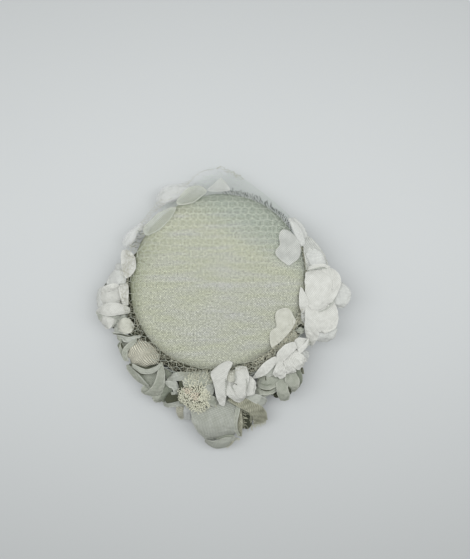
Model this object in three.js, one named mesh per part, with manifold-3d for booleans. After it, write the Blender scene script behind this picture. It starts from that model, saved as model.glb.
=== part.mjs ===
// Linen cap for a small child: a round flat-topped crown, open below for the head, with a net veil
// drawn over it and a wreath of cloth flowers sewn round its wall.
// Millimetres, +Z up. The rim stands on z = 0 and the crown's axis is x = y = 0 while the pieces are
// made, and the group is centred at the end.
import * as THREE from "three";
import { mergeVertices } from "three/addons/utils/BufferGeometryUtils.js";
import Module from "manifold-3d";

const wasm = await Module();
wasm.setup();

// ---- driving dimensions ----
const CROWN_HEIGHT = 54;
const CROWN_HALF_LONG = 78;
const CROWN_HALF_SHORT = 75;
const CROWN_LONG_AT = 45;
const CROWN_DOME = 3.5;
const CROWN_SHOULDER = 8.5;
const CROWN_WALL = 2.2;
const CROWN_SEGMENTS = 36;
const NET_GAP = 0.4;
const NET_WALL = 1.0;
const NET_SKIRT_ROWS = 3;
const PETAL_WALL = 1.3;
const LONG_PETAL = 45;
const WIDE_PETAL = 30;
const PIECE_GAP = 0.35;
const CUT_GAP = 0.7;
const MERGE = 1e-4;

// ---- how a petal's cloth is cut and curled, the same for all ----
const POINTED_TAPER = 0.55;
const ROUND_TAPER = 0.2;
const POINTED_FALL = 1.15;
const EDGE_POWER = 1.5;
const BEND_POWER = 1.3;
const LIP_START = 0.72;
const LIP_POWER = 1.5;
const WIDEST_AT = 0.8;
const WAVE_SHIFT = 0.7;
const FLAT_CURL = 1e-6;

const LINEN = { color: 0xb5b9ad, roughness: 0.95, metalness: 0 };
const NET_CLOTH = { color: 0xc4c8b8, roughness: 0.9, metalness: 0 };
const WHITE = { color: 0xd0d1cb, roughness: 0.9, metalness: 0 };
const GREY = { color: 0xa2a59b, roughness: 0.9, metalness: 0 };
const SAGE = { color: 0x9a9d8f, roughness: 0.9, metalness: 0 };
const CREAM = { color: 0xc3c5bc, roughness: 0.9, metalness: 0 };
const FRAYED = { color: 0xaeab96, roughness: 0.95, metalness: 0 };

// ---- the net's free edge: azimuth in degrees, how far it flares from the wall, height of the edge ----
const NET_EDGE = [
  { azimuth: -200, flare: 0, height: 30 },
  { azimuth: 18, flare: 0, height: 30 },
  { azimuth: 30, flare: 8, height: 27 },
  { azimuth: 45, flare: 8.5, height: 26 },
  { azimuth: 58, flare: 11, height: 24 },
  { azimuth: 75, flare: 18, height: 18 },
  { azimuth: 92, flare: 27, height: 12 },
  { azimuth: 105, flare: 23, height: 14 },
  { azimuth: 128, flare: 21, height: 16 },
  { azimuth: 148, flare: 11, height: 24 },
  { azimuth: 160, flare: 0, height: 30 },
];

// ---- petals, one row each ----
// x, y, z: where the petal springs from. heading, rise, roll: the way it points, degrees.
// length, width: flat size. bend: total curl towards the back, degrees. lip: extra curl of the tip.
// cup: how far the sides curl up (or down, when negative). tip: 0 pointed to 1 round.
// base: width at the root as a share. ripple, waves: height and number of the edge's waves.
const PETAL_COLUMNS = [
  "x", "y", "z", "heading", "rise", "roll", "length", "width",
  "bend", "lip", "cup", "tip", "base", "ripple", "waves",
];

const FLOWERS = [
  {
    name: "white_rose_south",
    look: WHITE,
    cores: [[12, -86, 38, 12, 14, 9]],
    petals: [
      [4, -71, 51, -91, -2, 0, 38, 16, 25, 0, 40, 0.6, 0.8, 0.6, 1.5],
      [8, -84, 46, 95, 20, 0, 14, 13, 30, 0, -30, 0.9, 0.9, 0.5, 2],
      [20, -95, 44, 91, 12, 0, 21, 19, 10, 0, -110, 0.9, 0.8, 0.3, 1],
      [9, -90, 44, -50, 8, 0, 24, 20, 35, 0, -40, 0.8, 0.8, 0.6, 2],
      [19, -91, 42, -10, 10, 0, 17, 22, 50, 0, -50, 1, 0.8, 0.5, 2],
    ],
  },
  {
    name: "white_rose_southeast",
    look: WHITE,
    cores: [[60, -64, 37, 17, 17, 10]],
    petals: [
      [54, -65, 47, 219, -2, 0, 31, 15, 15, 0, -50, 0.15, 0.8, 0.4, 1],
      [51, -68, 50, 31, 4, 0, 27, 18, 20, 0, -100, 0.8, 0.7, 0.3, 1],
      [61, -64, 45, -60, 0, 0, 25, 36, 40, 0, -30, 1, 0.6, 1.4, 3.5],
      [56, -66, 44, -105, 0, 0, 20, 22, 40, 0, -20, 1, 0.7, 0.8, 2],
      [61, -60, 46, 28, 8, 0, 23, 15, 25, 0, -60, 0.7, 0.8, 0.6, 2],
      [70, -60, 37, -12, -5, 0, 15, 15, 30, 0, -20, 0.9, 0.8, 0.4, 2],
    ],
  },
  {
    name: "white_rose_east",
    look: WHITE,
    cores: [[86, -10, 31, 16, 36, 15]],
    petals: [
      [80, -5, 42, 8, 15, 0, 30, 44, 50, 0, -30, 1, 0.8, 1, 2],
      [95, 14, 45, -50, 0, 0, 26, 12, 20, 0, -110, 0.8, 0.8, 0.3, 1],
      [80, -22, 44, -62, 5, 0, 30, 34, 45, 10, -40, 1, 0.7, 1.2, 3],
      [84, -18, 43, -22, 5, 0, 25, 28, 45, 0, -30, 1, 0.7, 1, 2],
      [86, -34, 34, -65, -5, 0, 25, 26, 35, 0, -30, 1, 0.8, 0.6, 2],
      [98, -8, 34, -12, -5, 0, 21, 24, 30, 0, -20, 1, 0.8, 0.5, 2],
      [81, 2, 38, 84, 0, 0, 38, 30, 30, 0, -30, 0.8, 0.9, 0.8, 2],
    ],
  },
  {
    name: "frayed_flower_south",
    look: FRAYED,
    cores: [[-19, -90, 34, 12, 16, 8]],
    petals: [
      [-20, -95, 36, 118, 22, 0, 20, 22, 40, 0, -20, 0.9, 0.7, 1.6, 3],
      [-16, -95, 36, 75, 22, 0, 19, 20, 40, 0, -20, 0.9, 0.7, 1.6, 3],
      [-15, -96, 35, 5, 15, 0, 14, 18, 40, 0, 0, 0.9, 0.7, 1.5, 3],
      [-16, -97, 34, -42, 10, 0, 20, 17, 40, 0, 0, 0.9, 0.7, 1.6, 3],
      [-22, -95, 38, -100, 5, 0, 20, 20, 50, 0, -40, 0.9, 0.8, 1.5, 4],
    ],
  },
  {
    name: "white_flower_west",
    look: WHITE,
    cores: [[-83, -17, 31, 11, 31, 13]],
    petals: [
      [-78, 6, 34, 168, 20, 0, 20, 18, 45, 0, 0, 0.8, 0.8, 0.8, 2],
      [-84, -11, 36, 170, 15, 0, 20, 22, 55, 20, -30, 1, 0.8, 0.6, 2],
      [-82, -23, 42, 92, 0, 0, 24, 12, 10, 0, -60, 0.7, 0.9, 0.3, 1],
      [-79, -24, 42, 178, 4, 0, 29, 13, 14, 0, -110, 0.6, 0.9, 0.5, 1],
      [-88, -28, 36, -148, 0, 0, 18, 15, 40, 0, -20, 0.8, 0.8, 0.5, 2],
      [-79, -29, 39, -118, -5, 0, 21, 21, 50, 0, -50, 1, 0.9, 0.5, 2],
    ],
  },
  {
    name: "bud_rose_southwest",
    look: SAGE,
    cores: [
      [-62, -62, 22, 17, 17, 14],
      [-66, -61, 34, 17, 12, 11],
    ],
    petals: [
      [-63, -60, 12, -103, 58, 0, 34, 40, -10, 90, 90, 0.9, 0.8, 0.5, 2],
      [-62, -64, 9, -118, 36, 0, 42, 44, 0, 40, 60, 0.3, 0.6, 0.8, 2],
      [-50, -70, 35, -98, -18, -20, 36, 15, 10, 0, -80, 0.6, 0.8, 0.5, 1],
      [-58, -78, 20, -122, -8, 0, 26, 24, 20, 0, -30, 0.5, 0.8, 0.8, 3],
      [-50, -74, 20, -97, -8, 0, 38, 22, 20, 0, -30, 0.5, 0.8, 0.8, 3],
      [-66, -54, 36, 160, 10, 0, 22, 22, 40, 20, -30, 0.6, 0.8, 0.8, 3],
      [-68, -60, 33, 186, 5, 0, 22, 22, 45, 0, -30, 0.8, 0.8, 0.8, 3],
    ],
  },
  {
    name: "sage_flower_southeast",
    look: SAGE,
    cores: [
      [58, -80, 18, 13, 18, 10],
      [50, -66, 17, 11, 18, 9],
    ],
    petals: [
      [58, -84, 27, 198, 5, 0, 26, 22, 35, 0, -20, 0.9, 0.8, 1.5, 3],
      [57, -83, 28, -84, 0, 0, 27, 15, 35, 15, -40, 0.9, 0.8, 0.8, 2],
      [60, -79, 28, -62, 0, 0, 24, 18, 40, 0, -50, 1, 0.8, 0.5, 1],
      [64, -75, 26, -60, -5, 0, 28, 20, 40, 0, -40, 1, 0.8, 0.5, 1],
    ],
  },
  {
    name: "grey_rose_south",
    look: GREY,
    cores: [
      [-4, -104, 17, 15, 22, 12],
      [-2, -84, 17, 13, 18, 11],
    ],
    petals: [
      [-5, -97, 29, -91, 5, 0, 58, 46, 72, -50, -110, 0.9, 0.75, 0.6, 2],
      [-5, -97, 13, -91, -8, 0, 46, 44, -45, 0, 100, 0.9, 0.75, 0.6, 2],
      [8, -96, 28, -36, -6, -25, 40, 18, 20, 0, -30, 0.3, 0.9, 0.8, 2],
      [10, -98, 24, -50, -14, 0, 42, 16, 20, 0, -30, 0.4, 0.9, 1, 3],
      [7, -95, 27, -24, -4, 0, 38, 12, 25, 0, -30, 0.8, 0.7, 0.4, 2],
    ],
  },
  {
    name: "small_petals_southwest",
    look: GREY,
    cores: [[-36, -82, 23, 12, 22, 12]],
    petals: [
      [-30, -82, 34, 190, -8, 0, 20, 10, 15, 0, -60, 0.3, 0.8, 0.4, 2],
      [-46, -89, 31, -25, 10, 0, 14, 11, 40, 30, -40, 0.9, 0.8, 0.5, 2],
      [-31, -104, 25, 190, -10, 30, 22, 10, 10, 0, 30, 0.3, 0.7, 0.4, 2],
      [-33, -100, 24, -100, -18, 0, 26, 9, 20, 0, -30, 0.5, 0.7, 0.3, 2],
      [-29, -100, 24, -88, -18, 0, 26, 10, 20, 0, -30, 0.8, 0.8, 0.3, 2],
    ],
  },
];

// ---- loose petals laid on the net: outline corners x, y, and how they leave the crown's edge ----
const LAID = [
  {
    name: "gauze_petal_on_crown",
    look: CREAM,
    droop: 0.3,
    outline: [
      [54, 44], [66, 38], [70, 30], [69, 21], [64, 16],
      [60, 14], [51, 21], [49, 26], [53, 32], [52, 38],
    ],
  },
  {
    name: "cream_petal_on_crown",
    look: CREAM,
    droop: 0.3,
    outline: [
      [50, -25], [56, -22], [61, -23], [64, -29], [66, -33], [62, -41],
      [56, -48], [49, -54], [46, -56], [44, -50], [45, -42], [50, -38], [49, -31],
    ],
  },
  {
    name: "leaf_petal_northwest",
    look: CREAM,
    droop: 0.5,
    outline: [
      [-35, 63], [-37, 57], [-42, 51], [-48, 45], [-54, 41],
      [-60, 39], [-63, 44], [-58, 51], [-52, 57], [-45, 61],
    ],
  },
  {
    name: "long_petal_north",
    look: CREAM,
    droop: 0.5,
    outline: [
      [-34, 65], [-27, 65], [-20, 67], [-14, 71], [-9, 76],
      [-13, 81], [-20, 82], [-27, 78], [-34, 70],
    ],
  },
  {
    name: "pointed_petal_north",
    look: CREAM,
    droop: 0.8,
    outline: [[-8, 75], [-4, 83], [2, 88], [5, 86], [10, 79], [8, 74], [0, 73]],
  },
  {
    name: "cloud_petal_northwest",
    look: WHITE,
    droop: 1.25,
    outline: [
      [-36, 68], [-44, 65], [-51, 63], [-55, 68], [-54, 77],
      [-48, 84], [-39, 86], [-30, 84], [-28, 80],
    ],
  },
  {
    name: "low_petal_northwest",
    look: CREAM,
    droop: 2,
    outline: [[-61, 46], [-66, 42], [-71, 32], [-80, 28], [-84, 34], [-79, 42], [-70, 49], [-64, 51]],
  },
  {
    name: "round_petal_west",
    look: WHITE,
    droop: 0.6,
    outline: [
      [-67, 18], [-68, 24], [-73, 27], [-79, 26], [-82, 20],
      [-82, 12], [-79, 6], [-73, 6], [-69, 11],
    ],
  },
];

// ---- small helpers ----
const rad = THREE.MathUtils.degToRad;

function clamp(value, low, high) {
  return Math.min(high, Math.max(low, value));
}

function named(columns, values) {
  return Object.fromEntries(columns.map((name, i) => [name, values[i]]));
}

// A manifold-3d solid from points [x, y, z] and triangles.
function solid(points, triangles) {
  const mesh = new wasm.Mesh({
    numProp: 3,
    vertProperties: new Float32Array(points.flat()),
    triVerts: new Uint32Array(triangles.flat()),
  });
  return new wasm.Manifold(mesh);
}

// The largest of a solid's separate bodies.
function largest(made) {
  const bodies = made.decompose();
  return bodies.reduce((a, b) => (b.volume() > a.volume() ? b : a));
}

// A plate between two equal grids of points: front is seen from outside, back from behind it.
function plate(front, back) {
  const rows = front.length;
  const columns = front[0].length;
  const points = [...front.flat(), ...back.flat()];
  const offset = rows * columns;
  const triangles = [];
  const at = (i, j) => i * columns + j;
  for (let i = 0; i < rows - 1; i++) {
    for (let j = 0; j < columns - 1; j++) {
      const [a, b, c, d] = [at(i, j), at(i, j + 1), at(i + 1, j + 1), at(i + 1, j)];
      triangles.push([a, b, c], [a, c, d]);
      triangles.push([a + offset, c + offset, b + offset], [a + offset, d + offset, c + offset]);
    }
  }
  const rim = [];
  for (let j = 0; j < columns - 1; j++) rim.push(at(0, j));
  for (let i = 0; i < rows - 1; i++) rim.push(at(i, columns - 1));
  for (let j = columns - 1; j > 0; j--) rim.push(at(rows - 1, j));
  for (let i = rows - 1; i > 0; i--) rim.push(at(i, 0));
  rim.forEach((a, k) => {
    const b = rim[(k + 1) % rim.length];
    triangles.push([b, a, a + offset], [b, a + offset, b + offset]);
  });
  return solid(points, triangles);
}

// ---- the crown's shape ----
// Half width of the oval crown in the direction of an azimuth, radians.
function crownRadius(azimuth) {
  const t = azimuth - rad(CROWN_LONG_AT);
  const across = CROWN_HALF_SHORT * Math.cos(t);
  const along = CROWN_HALF_LONG * Math.sin(t);
  return (CROWN_HALF_LONG * CROWN_HALF_SHORT) / Math.hypot(across, along);
}

// Profile of the crown's outside from the middle of the top to the rim, as inset from the wall and
// height. An offset moves the profile outwards along its own normal.
function crownProfile(offset, bottom) {
  const edge = CROWN_HEIGHT - CROWN_DOME;
  const profile = [];
  for (const share of [0.45, 0.8]) {
    const radius = share * (CROWN_HALF_SHORT - CROWN_SHOULDER);
    const rise = CROWN_DOME * (1 - share * share);
    profile.push({ radius, height: edge + rise + offset });
  }
  for (const angle of [90, 60, 30, 0]) {
    const reach = CROWN_SHOULDER + offset;
    profile.push({
      inset: CROWN_SHOULDER - reach * Math.cos(rad(angle)),
      height: edge - CROWN_SHOULDER + reach * Math.sin(rad(angle)),
    });
  }
  if (bottom !== undefined) {
    profile.push({ inset: -offset, height: bottom });
  }
  return profile;
}

function profilePoint(step, azimuth) {
  const radius = step.radius === undefined ? crownRadius(azimuth) - step.inset : step.radius;
  return [radius * Math.cos(azimuth), radius * Math.sin(azimuth), step.height];
}

// A closed solid from rings of points, joined in order, with a point on the axis before and after them.
function ringSolid(top, rings, bottom) {
  const n = CROWN_SEGMENTS;
  const points = [top, ...rings.flat(), bottom];
  const last = points.length - 1;
  const triangles = [];
  const at = (i, j) => 1 + i * n + (j % n);
  for (let j = 0; j < n; j++) {
    triangles.push([0, at(0, j), at(0, j + 1)]);
    for (let i = 0; i < rings.length - 1; i++) {
      triangles.push([at(i, j), at(i + 1, j), at(i + 1, j + 1)]);
      triangles.push([at(i, j), at(i + 1, j + 1), at(i, j + 1)]);
    }
    triangles.push([at(rings.length - 1, j), last, at(rings.length - 1, j + 1)]);
  }
  return solid(points, triangles);
}

function ring(place) {
  return Array.from({ length: CROWN_SEGMENTS }, (_, j) => place((2 * Math.PI * j) / CROWN_SEGMENTS));
}

function crownSolid() {
  const outside = crownProfile(0, 0);
  const inside = crownProfile(-CROWN_WALL, 0);
  const rings = [...outside, ...inside.reverse()].map((step) => ring((a) => profilePoint(step, a)));
  return ringSolid([0, 0, CROWN_HEIGHT], rings, [0, 0, CROWN_HEIGHT - CROWN_WALL]);
}

// ---- the net ----
function netEdge(azimuth) {
  let degrees = THREE.MathUtils.radToDeg(azimuth);
  if (degrees > 180) degrees -= 360;
  if (degrees < NET_EDGE[0].azimuth) degrees += 360;
  let k = NET_EDGE.findIndex((row) => row.azimuth > degrees);
  if (k < 0) return NET_EDGE[0];
  const [a, b] = [NET_EDGE[k - 1], NET_EDGE[k]];
  const share = (degrees - a.azimuth) / (b.azimuth - a.azimuth);
  return {
    flare: THREE.MathUtils.lerp(a.flare, b.flare, share),
    height: THREE.MathUtils.lerp(a.height, b.height, share),
  };
}

// Rings of the net's surface at an offset from the crown: over the top, round the shoulder, then out
// and down to the free edge.
function netRings(offset) {
  const top = crownProfile(offset).slice(0, -1);
  const rings = top.map((step) => ring((a) => profilePoint(step, a)));
  const start = top[top.length - 1];
  for (let i = 1; i <= NET_SKIRT_ROWS; i++) {
    const share = i / NET_SKIRT_ROWS;
    rings.push(
      ring((a) => {
        const edge = netEdge(a);
        const from = crownRadius(a) - start.inset;
        const radius = Math.max(crownRadius(a) + offset, from + edge.flare * share);
        const height = THREE.MathUtils.lerp(start.height, edge.height, share);
        return [radius * Math.cos(a), radius * Math.sin(a), height];
      }),
    );
  }
  return rings;
}

function netSolid() {
  const outside = netRings(NET_GAP + NET_WALL);
  const inside = netRings(NET_GAP);
  return ringSolid(
    [0, 0, CROWN_HEIGHT + NET_GAP + NET_WALL],
    [...outside, ...inside.reverse()],
    [0, 0, CROWN_HEIGHT + NET_GAP],
  );
}

// The room taken by crown and net together, a little larger all round: flowers and petals stay
// outside it. Below the net's edge it closes in to the bare wall, where the net doesn't flare away.
function keepOut() {
  const rings = netRings(NET_GAP + NET_WALL + PIECE_GAP);
  const wall = (height) =>
    ring((a) => {
      const edge = netEdge(a);
      const radius = crownRadius(a) + PIECE_GAP + edge.flare;
      return [radius * Math.cos(a), radius * Math.sin(a), height ?? edge.height - 2 * PIECE_GAP];
    });
  const top = CROWN_HEIGHT + NET_GAP + NET_WALL + PIECE_GAP;
  const foot = -NET_WALL;
  return ringSolid([0, 0, top], [...rings, wall(), wall(foot)], [0, 0, foot]);
}

// ---- petals ----
function petalGrid(p, grow) {
  const rows = p.length > LONG_PETAL ? 5 : 4;
  const columns = p.width > WIDE_PETAL ? 5 : 4;
  const forward = new THREE.Vector3(
    Math.cos(rad(p.heading)) * Math.cos(rad(p.rise)),
    Math.sin(rad(p.heading)) * Math.cos(rad(p.rise)),
    Math.sin(rad(p.rise)),
  );
  const normal = new THREE.Vector3(
    -Math.cos(rad(p.heading)) * Math.sin(rad(p.rise)),
    -Math.sin(rad(p.heading)) * Math.sin(rad(p.rise)),
    Math.cos(rad(p.rise)),
  );
  const right = new THREE.Vector3().crossVectors(forward, normal);
  normal.applyAxisAngle(forward, rad(p.roll));
  right.applyAxisAngle(forward, rad(p.roll));
  const length = p.length + 2 * grow;
  const width = p.width + 2 * grow;
  const start = new THREE.Vector3(p.x, p.y, p.z).addScaledVector(forward, -grow);
  const grid = Array.from({ length: rows }, () => new Array(columns));
  for (let j = 0; j < columns; j++) {
    const s = -1 + (2 * j) / (columns - 1);
    const u = Math.sin((s * Math.PI) / 2);
    const round = 1 - Math.sqrt(1 - u * u);
    const fall = THREE.MathUtils.lerp(Math.abs(u) ** POINTED_FALL, round, p.tip);
    const taper = POINTED_TAPER - ROUND_TAPER * p.tip;
    const spine = start.clone();
    let before = 0;
    let angleBefore = 0;
    for (let i = 0; i < rows; i++) {
      const v = i / (rows - 1);
      const along = length * v * (1 - taper * fall * v ** EDGE_POWER);
      const lip = clamp((v - LIP_START) / (1 - LIP_START), 0, 1) ** LIP_POWER;
      const angle = -rad(p.bend) * v ** BEND_POWER - rad(p.lip) * lip;
      const middle = forward.clone().applyAxisAngle(right, (angle + angleBefore) / 2);
      spine.addScaledVector(middle, along - before);
      before = along;
      angleBefore = angle;
      const n = normal.clone().applyAxisAngle(right, angle);
      const opened = Math.sin((Math.PI / 2) * clamp(v / WIDEST_AT, 0, 1));
      const share = THREE.MathUtils.lerp(p.base, 1, opened);
      const across = (width / 2) * u * share;
      const curl = rad(p.cup) / p.width;
      const turned = across * curl;
      const flat = Math.abs(curl) < FLAT_CURL;
      const out = flat ? across : Math.sin(turned) / curl;
      const up = flat ? 0 : (1 - Math.cos(turned)) / curl;
      const wave = p.ripple * v * v * Math.sin(Math.PI * p.waves * s + WAVE_SHIFT);
      grid[i][j] = spine.clone().addScaledVector(right, out).addScaledVector(n, up + wave);
    }
  }
  return grid;
}

// Unit normals of a grid of points, by the difference of its neighbours.
function gridNormals(grid) {
  const rows = grid.length;
  const columns = grid[0].length;
  return grid.map((line, i) =>
    line.map((_, j) => {
      const along = grid[Math.min(i + 1, rows - 1)][j].clone().sub(grid[Math.max(i - 1, 0)][j]);
      const across = line[Math.min(j + 1, columns - 1)].clone().sub(line[Math.max(j - 1, 0)]);
      return across.cross(along).normalize();
    }),
  );
}

function petalSolid(p, grow) {
  const grid = petalGrid(p, grow);
  const normals = gridNormals(grid);
  const half = PETAL_WALL / 2 + grow;
  const shifted = (side) =>
    grid.map((line, i) =>
      line.map((point, j) => point.clone().addScaledVector(normals[i][j], side * half).toArray()),
    );
  return plate(shifted(1), shifted(-1));
}

function coreSolid([x, y, z, rx, ry, rz], grow) {
  const ball = new THREE.SphereGeometry(1, 8, 5);
  ball.scale(rx + grow, ry + grow, rz + grow);
  ball.translate(x, y, z);
  ball.deleteAttribute("normal");
  ball.deleteAttribute("uv");
  const merged = mergeVertices(ball, MERGE);
  const position = merged.getAttribute("position");
  const points = Array.from({ length: position.count }, (_, i) => [
    position.getX(i),
    position.getY(i),
    position.getZ(i),
  ]);
  const corners = Array.from(merged.index.array);
  const triangles = [];
  for (let i = 0; i < corners.length; i += 3) {
    const [a, b, c] = corners.slice(i, i + 3);
    if (a !== b && b !== c && a !== c) triangles.push([a, b, c]);
  }
  return solid(points, triangles);
}

function flowerSolid(flower, grow) {
  const petals = flower.petals.map((values) => petalSolid(named(PETAL_COLUMNS, values), grow));
  const cores = flower.cores.map((values) => coreSolid(values, grow));
  return [...cores, ...petals].reduce((a, b) => a.add(b));
}

// ---- loose petals ----
// A point of cloth laid on the crown at x, y, lifted along the surface's normal. Past the shoulder it
// leaves the crown and runs straight on, as steep as its droop.
function laidPoint(x, y, droop, lift) {
  const azimuth = Math.atan2(y, x);
  const radius = Math.hypot(x, y);
  const edge = CROWN_HEIGHT - CROWN_DOME;
  const flat = crownRadius(azimuth) - CROWN_SHOULDER;
  const over = radius - flat;
  const steepest = Math.atan(droop);
  const turn = CROWN_SHOULDER * Math.sin(steepest);
  const slope = clamp(Math.asin(clamp(over / CROWN_SHOULDER, 0, 1)), 0, steepest);
  let height = edge - CROWN_SHOULDER * (1 - Math.cos(slope));
  if (over < 0) height = edge + CROWN_DOME * (1 - (radius / flat) ** 2);
  if (over > turn) height -= droop * (over - turn);
  const lifted = radius + lift * Math.sin(slope);
  return [lifted * Math.cos(azimuth), lifted * Math.sin(azimuth), height + lift * Math.cos(slope)];
}

function laidSolid(petal, grow) {
  const low = NET_GAP + NET_WALL + PIECE_GAP - grow;
  const high = NET_GAP + NET_WALL + PIECE_GAP + PETAL_WALL + grow;
  const n = petal.outline.length;
  const centre = [0, 1].map((k) => petal.outline.reduce((sum, point) => sum + point[k], 0) / n);
  const points = [];
  for (const lift of [high, low]) {
    points.push(laidPoint(...centre, petal.droop, lift));
    for (const share of [0.55, 1]) {
      for (const [px, py] of petal.outline) {
        const reach = Math.hypot(px - centre[0], py - centre[1]);
        const scale = share * (1 + (share === 1 ? grow / reach : 0));
        const x = centre[0] + (px - centre[0]) * scale;
        const y = centre[1] + (py - centre[1]) * scale;
        points.push(laidPoint(x, y, petal.droop, lift));
      }
    }
  }
  const offset = 1 + 2 * n;
  const triangles = [];
  for (let j = 0; j < n; j++) {
    const k = (j + 1) % n;
    const faces = [
      [0, 1 + j, 1 + k],
      [1 + j, 1 + n + j, 1 + n + k],
      [1 + j, 1 + n + k, 1 + k],
    ];
    for (const [a, b, c] of faces) {
      triangles.push([a, b, c], [a + offset, c + offset, b + offset]);
    }
    const [a, b] = [1 + n + j, 1 + n + k];
    triangles.push([a, a + offset, b + offset], [a, b + offset, b]);
  }
  const made = solid(points, triangles);
  if (made.volume() > 0) return made;
  return solid(points, triangles.map(([a, b, c]) => [a, c, b]));
}

// ---- the object ----
const cap = new THREE.Group();

function addPiece(name, made, look) {
  const raw = made.getMesh();
  const geometry = new THREE.BufferGeometry();
  geometry.setAttribute("position", new THREE.BufferAttribute(new Float32Array(raw.vertProperties), 3));
  geometry.setIndex(new THREE.BufferAttribute(new Uint32Array(raw.triVerts), 1));
  const mesh = new THREE.Mesh(geometry, new THREE.MeshStandardMaterial(look));
  mesh.name = name;
  cap.add(mesh);
}

addPiece("crown", crownSolid(), LINEN);
addPiece("net_veil", netSolid(), NET_CLOTH);

const taken = [keepOut()];
for (const flower of FLOWERS) {
  const whole = flowerSolid(flower, 0);
  addPiece(flower.name, largest(taken.reduce((a, b) => a.subtract(b), whole)), flower.look);
  taken.push(flowerSolid(flower, CUT_GAP));
}
for (const petal of LAID) {
  const whole = laidSolid(petal, 0);
  addPiece(petal.name, largest(taken.reduce((a, b) => a.subtract(b), whole)), petal.look);
  taken.push(laidSolid(petal, CUT_GAP));
}

const bounds = new THREE.Box3().setFromObject(cap);
const middle = bounds.getCenter(new THREE.Vector3());
cap.position.set(-middle.x, -middle.y, -bounds.min.z);

export default cap;
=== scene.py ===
"""A small child's linen cap: a round flat-topped crown, a net veil drawn over it, and a wreath of cloth
flowers sewn round its wall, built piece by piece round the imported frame."""

import math

import bpy
from bpy.props import FloatProperty, FloatVectorProperty, IntProperty, PointerProperty
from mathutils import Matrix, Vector, noise


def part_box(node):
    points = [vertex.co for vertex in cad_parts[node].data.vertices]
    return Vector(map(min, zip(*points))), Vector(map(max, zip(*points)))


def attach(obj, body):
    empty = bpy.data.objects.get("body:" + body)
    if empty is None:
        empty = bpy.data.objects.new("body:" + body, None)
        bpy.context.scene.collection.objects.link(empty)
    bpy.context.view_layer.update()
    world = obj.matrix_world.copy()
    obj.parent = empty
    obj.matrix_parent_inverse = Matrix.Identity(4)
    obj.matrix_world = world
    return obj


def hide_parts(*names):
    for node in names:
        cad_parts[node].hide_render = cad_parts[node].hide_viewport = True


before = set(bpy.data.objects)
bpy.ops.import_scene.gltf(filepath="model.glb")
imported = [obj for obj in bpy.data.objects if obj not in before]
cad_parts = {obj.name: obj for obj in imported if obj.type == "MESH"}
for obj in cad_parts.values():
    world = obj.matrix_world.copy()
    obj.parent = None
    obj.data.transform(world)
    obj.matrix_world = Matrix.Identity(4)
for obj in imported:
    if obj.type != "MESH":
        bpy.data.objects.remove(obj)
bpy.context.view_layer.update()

bl_info = {
    "name": "Linen Cap with Cloth Flowers",
    "version": (1, 0, 0),
    "blender": (4, 5, 0),
    "location": "View3D > Sidebar > Linen Cap",
    "description": "Builds a linen cap with a net veil and a wreath of cloth flowers",
    "category": "Add Mesh",
}

MM = 0.001
CROWN_LOW, CROWN_HIGH = (Vector(corner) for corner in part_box("crown"))
AXIS = Vector(((CROWN_LOW.x + CROWN_HIGH.x) / 2, (CROWN_LOW.y + CROWN_HIGH.y) / 2, 0))
CROWN_TOP = CROWN_HIGH.z / MM

# How fine the shapes are: points and rings of the crown and of a loose petal, steps of a search, a length, an
# outline and the threads, and the rows and columns of folds and of bunched net.
CROWN_POINTS, RIM_POINTS, CUP_PETALS = 144, 240, 6
TOP_RINGS, INSIDE_RINGS = (0.004, 0.06, 0.2, 0.4, 0.6, 0.7, 0.8, 0.9, 0.96, 1.0), (0.7, 0.4, 0.06, 0.004)
PETAL_RINGS = (0.03, 0.2, 0.4, 0.6, 0.8, 0.93, 1.0)
HALVINGS, LENGTH_STEPS, OUTLINE_STEPS, CURL_STEPS, LOOP_STEPS, LOOSE_STEPS = 24, 24, 5, 5, 14, 4
THREAD_SIDES, FOLD_POINTS, BUNCH_POINTS = 5, (5, 13), (11, 301)

# Places round the cap in degrees: their middle and how far they reach either way.
WORN, UNBOUND = (142, 56), (145, 50)  # where the net is worn away, and where it has no bound edge
FREE_EDGE = (84, 44)  # where the net stands out behind the cap
GATHERS = ((225, 150), (335, 60))  # where its second fold is bunched
SHALLOW = (325, 50)  # where the bunched net lies higher
BUNCH_FROM, BUNCH_SPAN = 160, 227  # where the bunched net starts, and how far round it runs
# The short thread ends at the fold are near-black: painted shade of the folded net.
FOLD_SHADE_ENDS = ((35, 87, 96), (140, 158, 20))  # from and to in degrees, and how many thread ends

# Lengths in millimetres.
HEM_ROUND = 0.6  # how much the crown's lower edge is rounded
RUFFLED_MARGIN, CUT_MARGIN = 4, 1.3  # how far in from its edge a petal ruffles, and shows as cut
WORN_DEPTH = 18  # how far in the net's worn edge reaches
NET_HALF = 175  # half the net's width
BUNCH_WIDTH, BUNCH_TOP = 11, 41  # width of the bunched net, and its height against the crown
BUD_MIDDLE, BUD_HALVES = (-64.5, -62, 33), (15.5, 12.5, 11)
FRAYED_MIDDLE = (-20.5, -95.5)

# Lengths in metres.
WRINKLE, BUNCH_CLOTH = 0.0016, 0.0005
LOOP_YARN, CURL_YARN, LOOSE_YARN = 0.0009, 0.00075, 0.00035
TABLE_HALF, CAMERA_ASIDE, LAMP_PLACE, LAMP_SIZE = 3.0, (0.0148, 0.0021), (0, 0.05, 0.8), (1.2, 0.3)

# Shares and counts.
# The darkening towards a petal's heel is painted shade, as deep inside a flower.
HEEL_SHARE = 0.4  # part of a petal that is darker towards its heel
HEM, BARE_EDGE = 0.45, 0.12  # part of a loose petal that its edge takes up, hemmed or bare
FOLD_SHAPE, FOLD_TAPER = (0.5, 0.5, 0.15, 0.1), 0.35  # tip, heel, creases and ruffle of a fold, and its ends' width
KNOT = 0.62  # size of a knot as a share of its thread
FEWEST_KNOTS = 60  # smaller scraps of net are dropped
GOLDEN = 0.618  # spreads thread ends evenly
LAMP_SPREAD = 105  # degrees
CURL_SEED = 7


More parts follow.
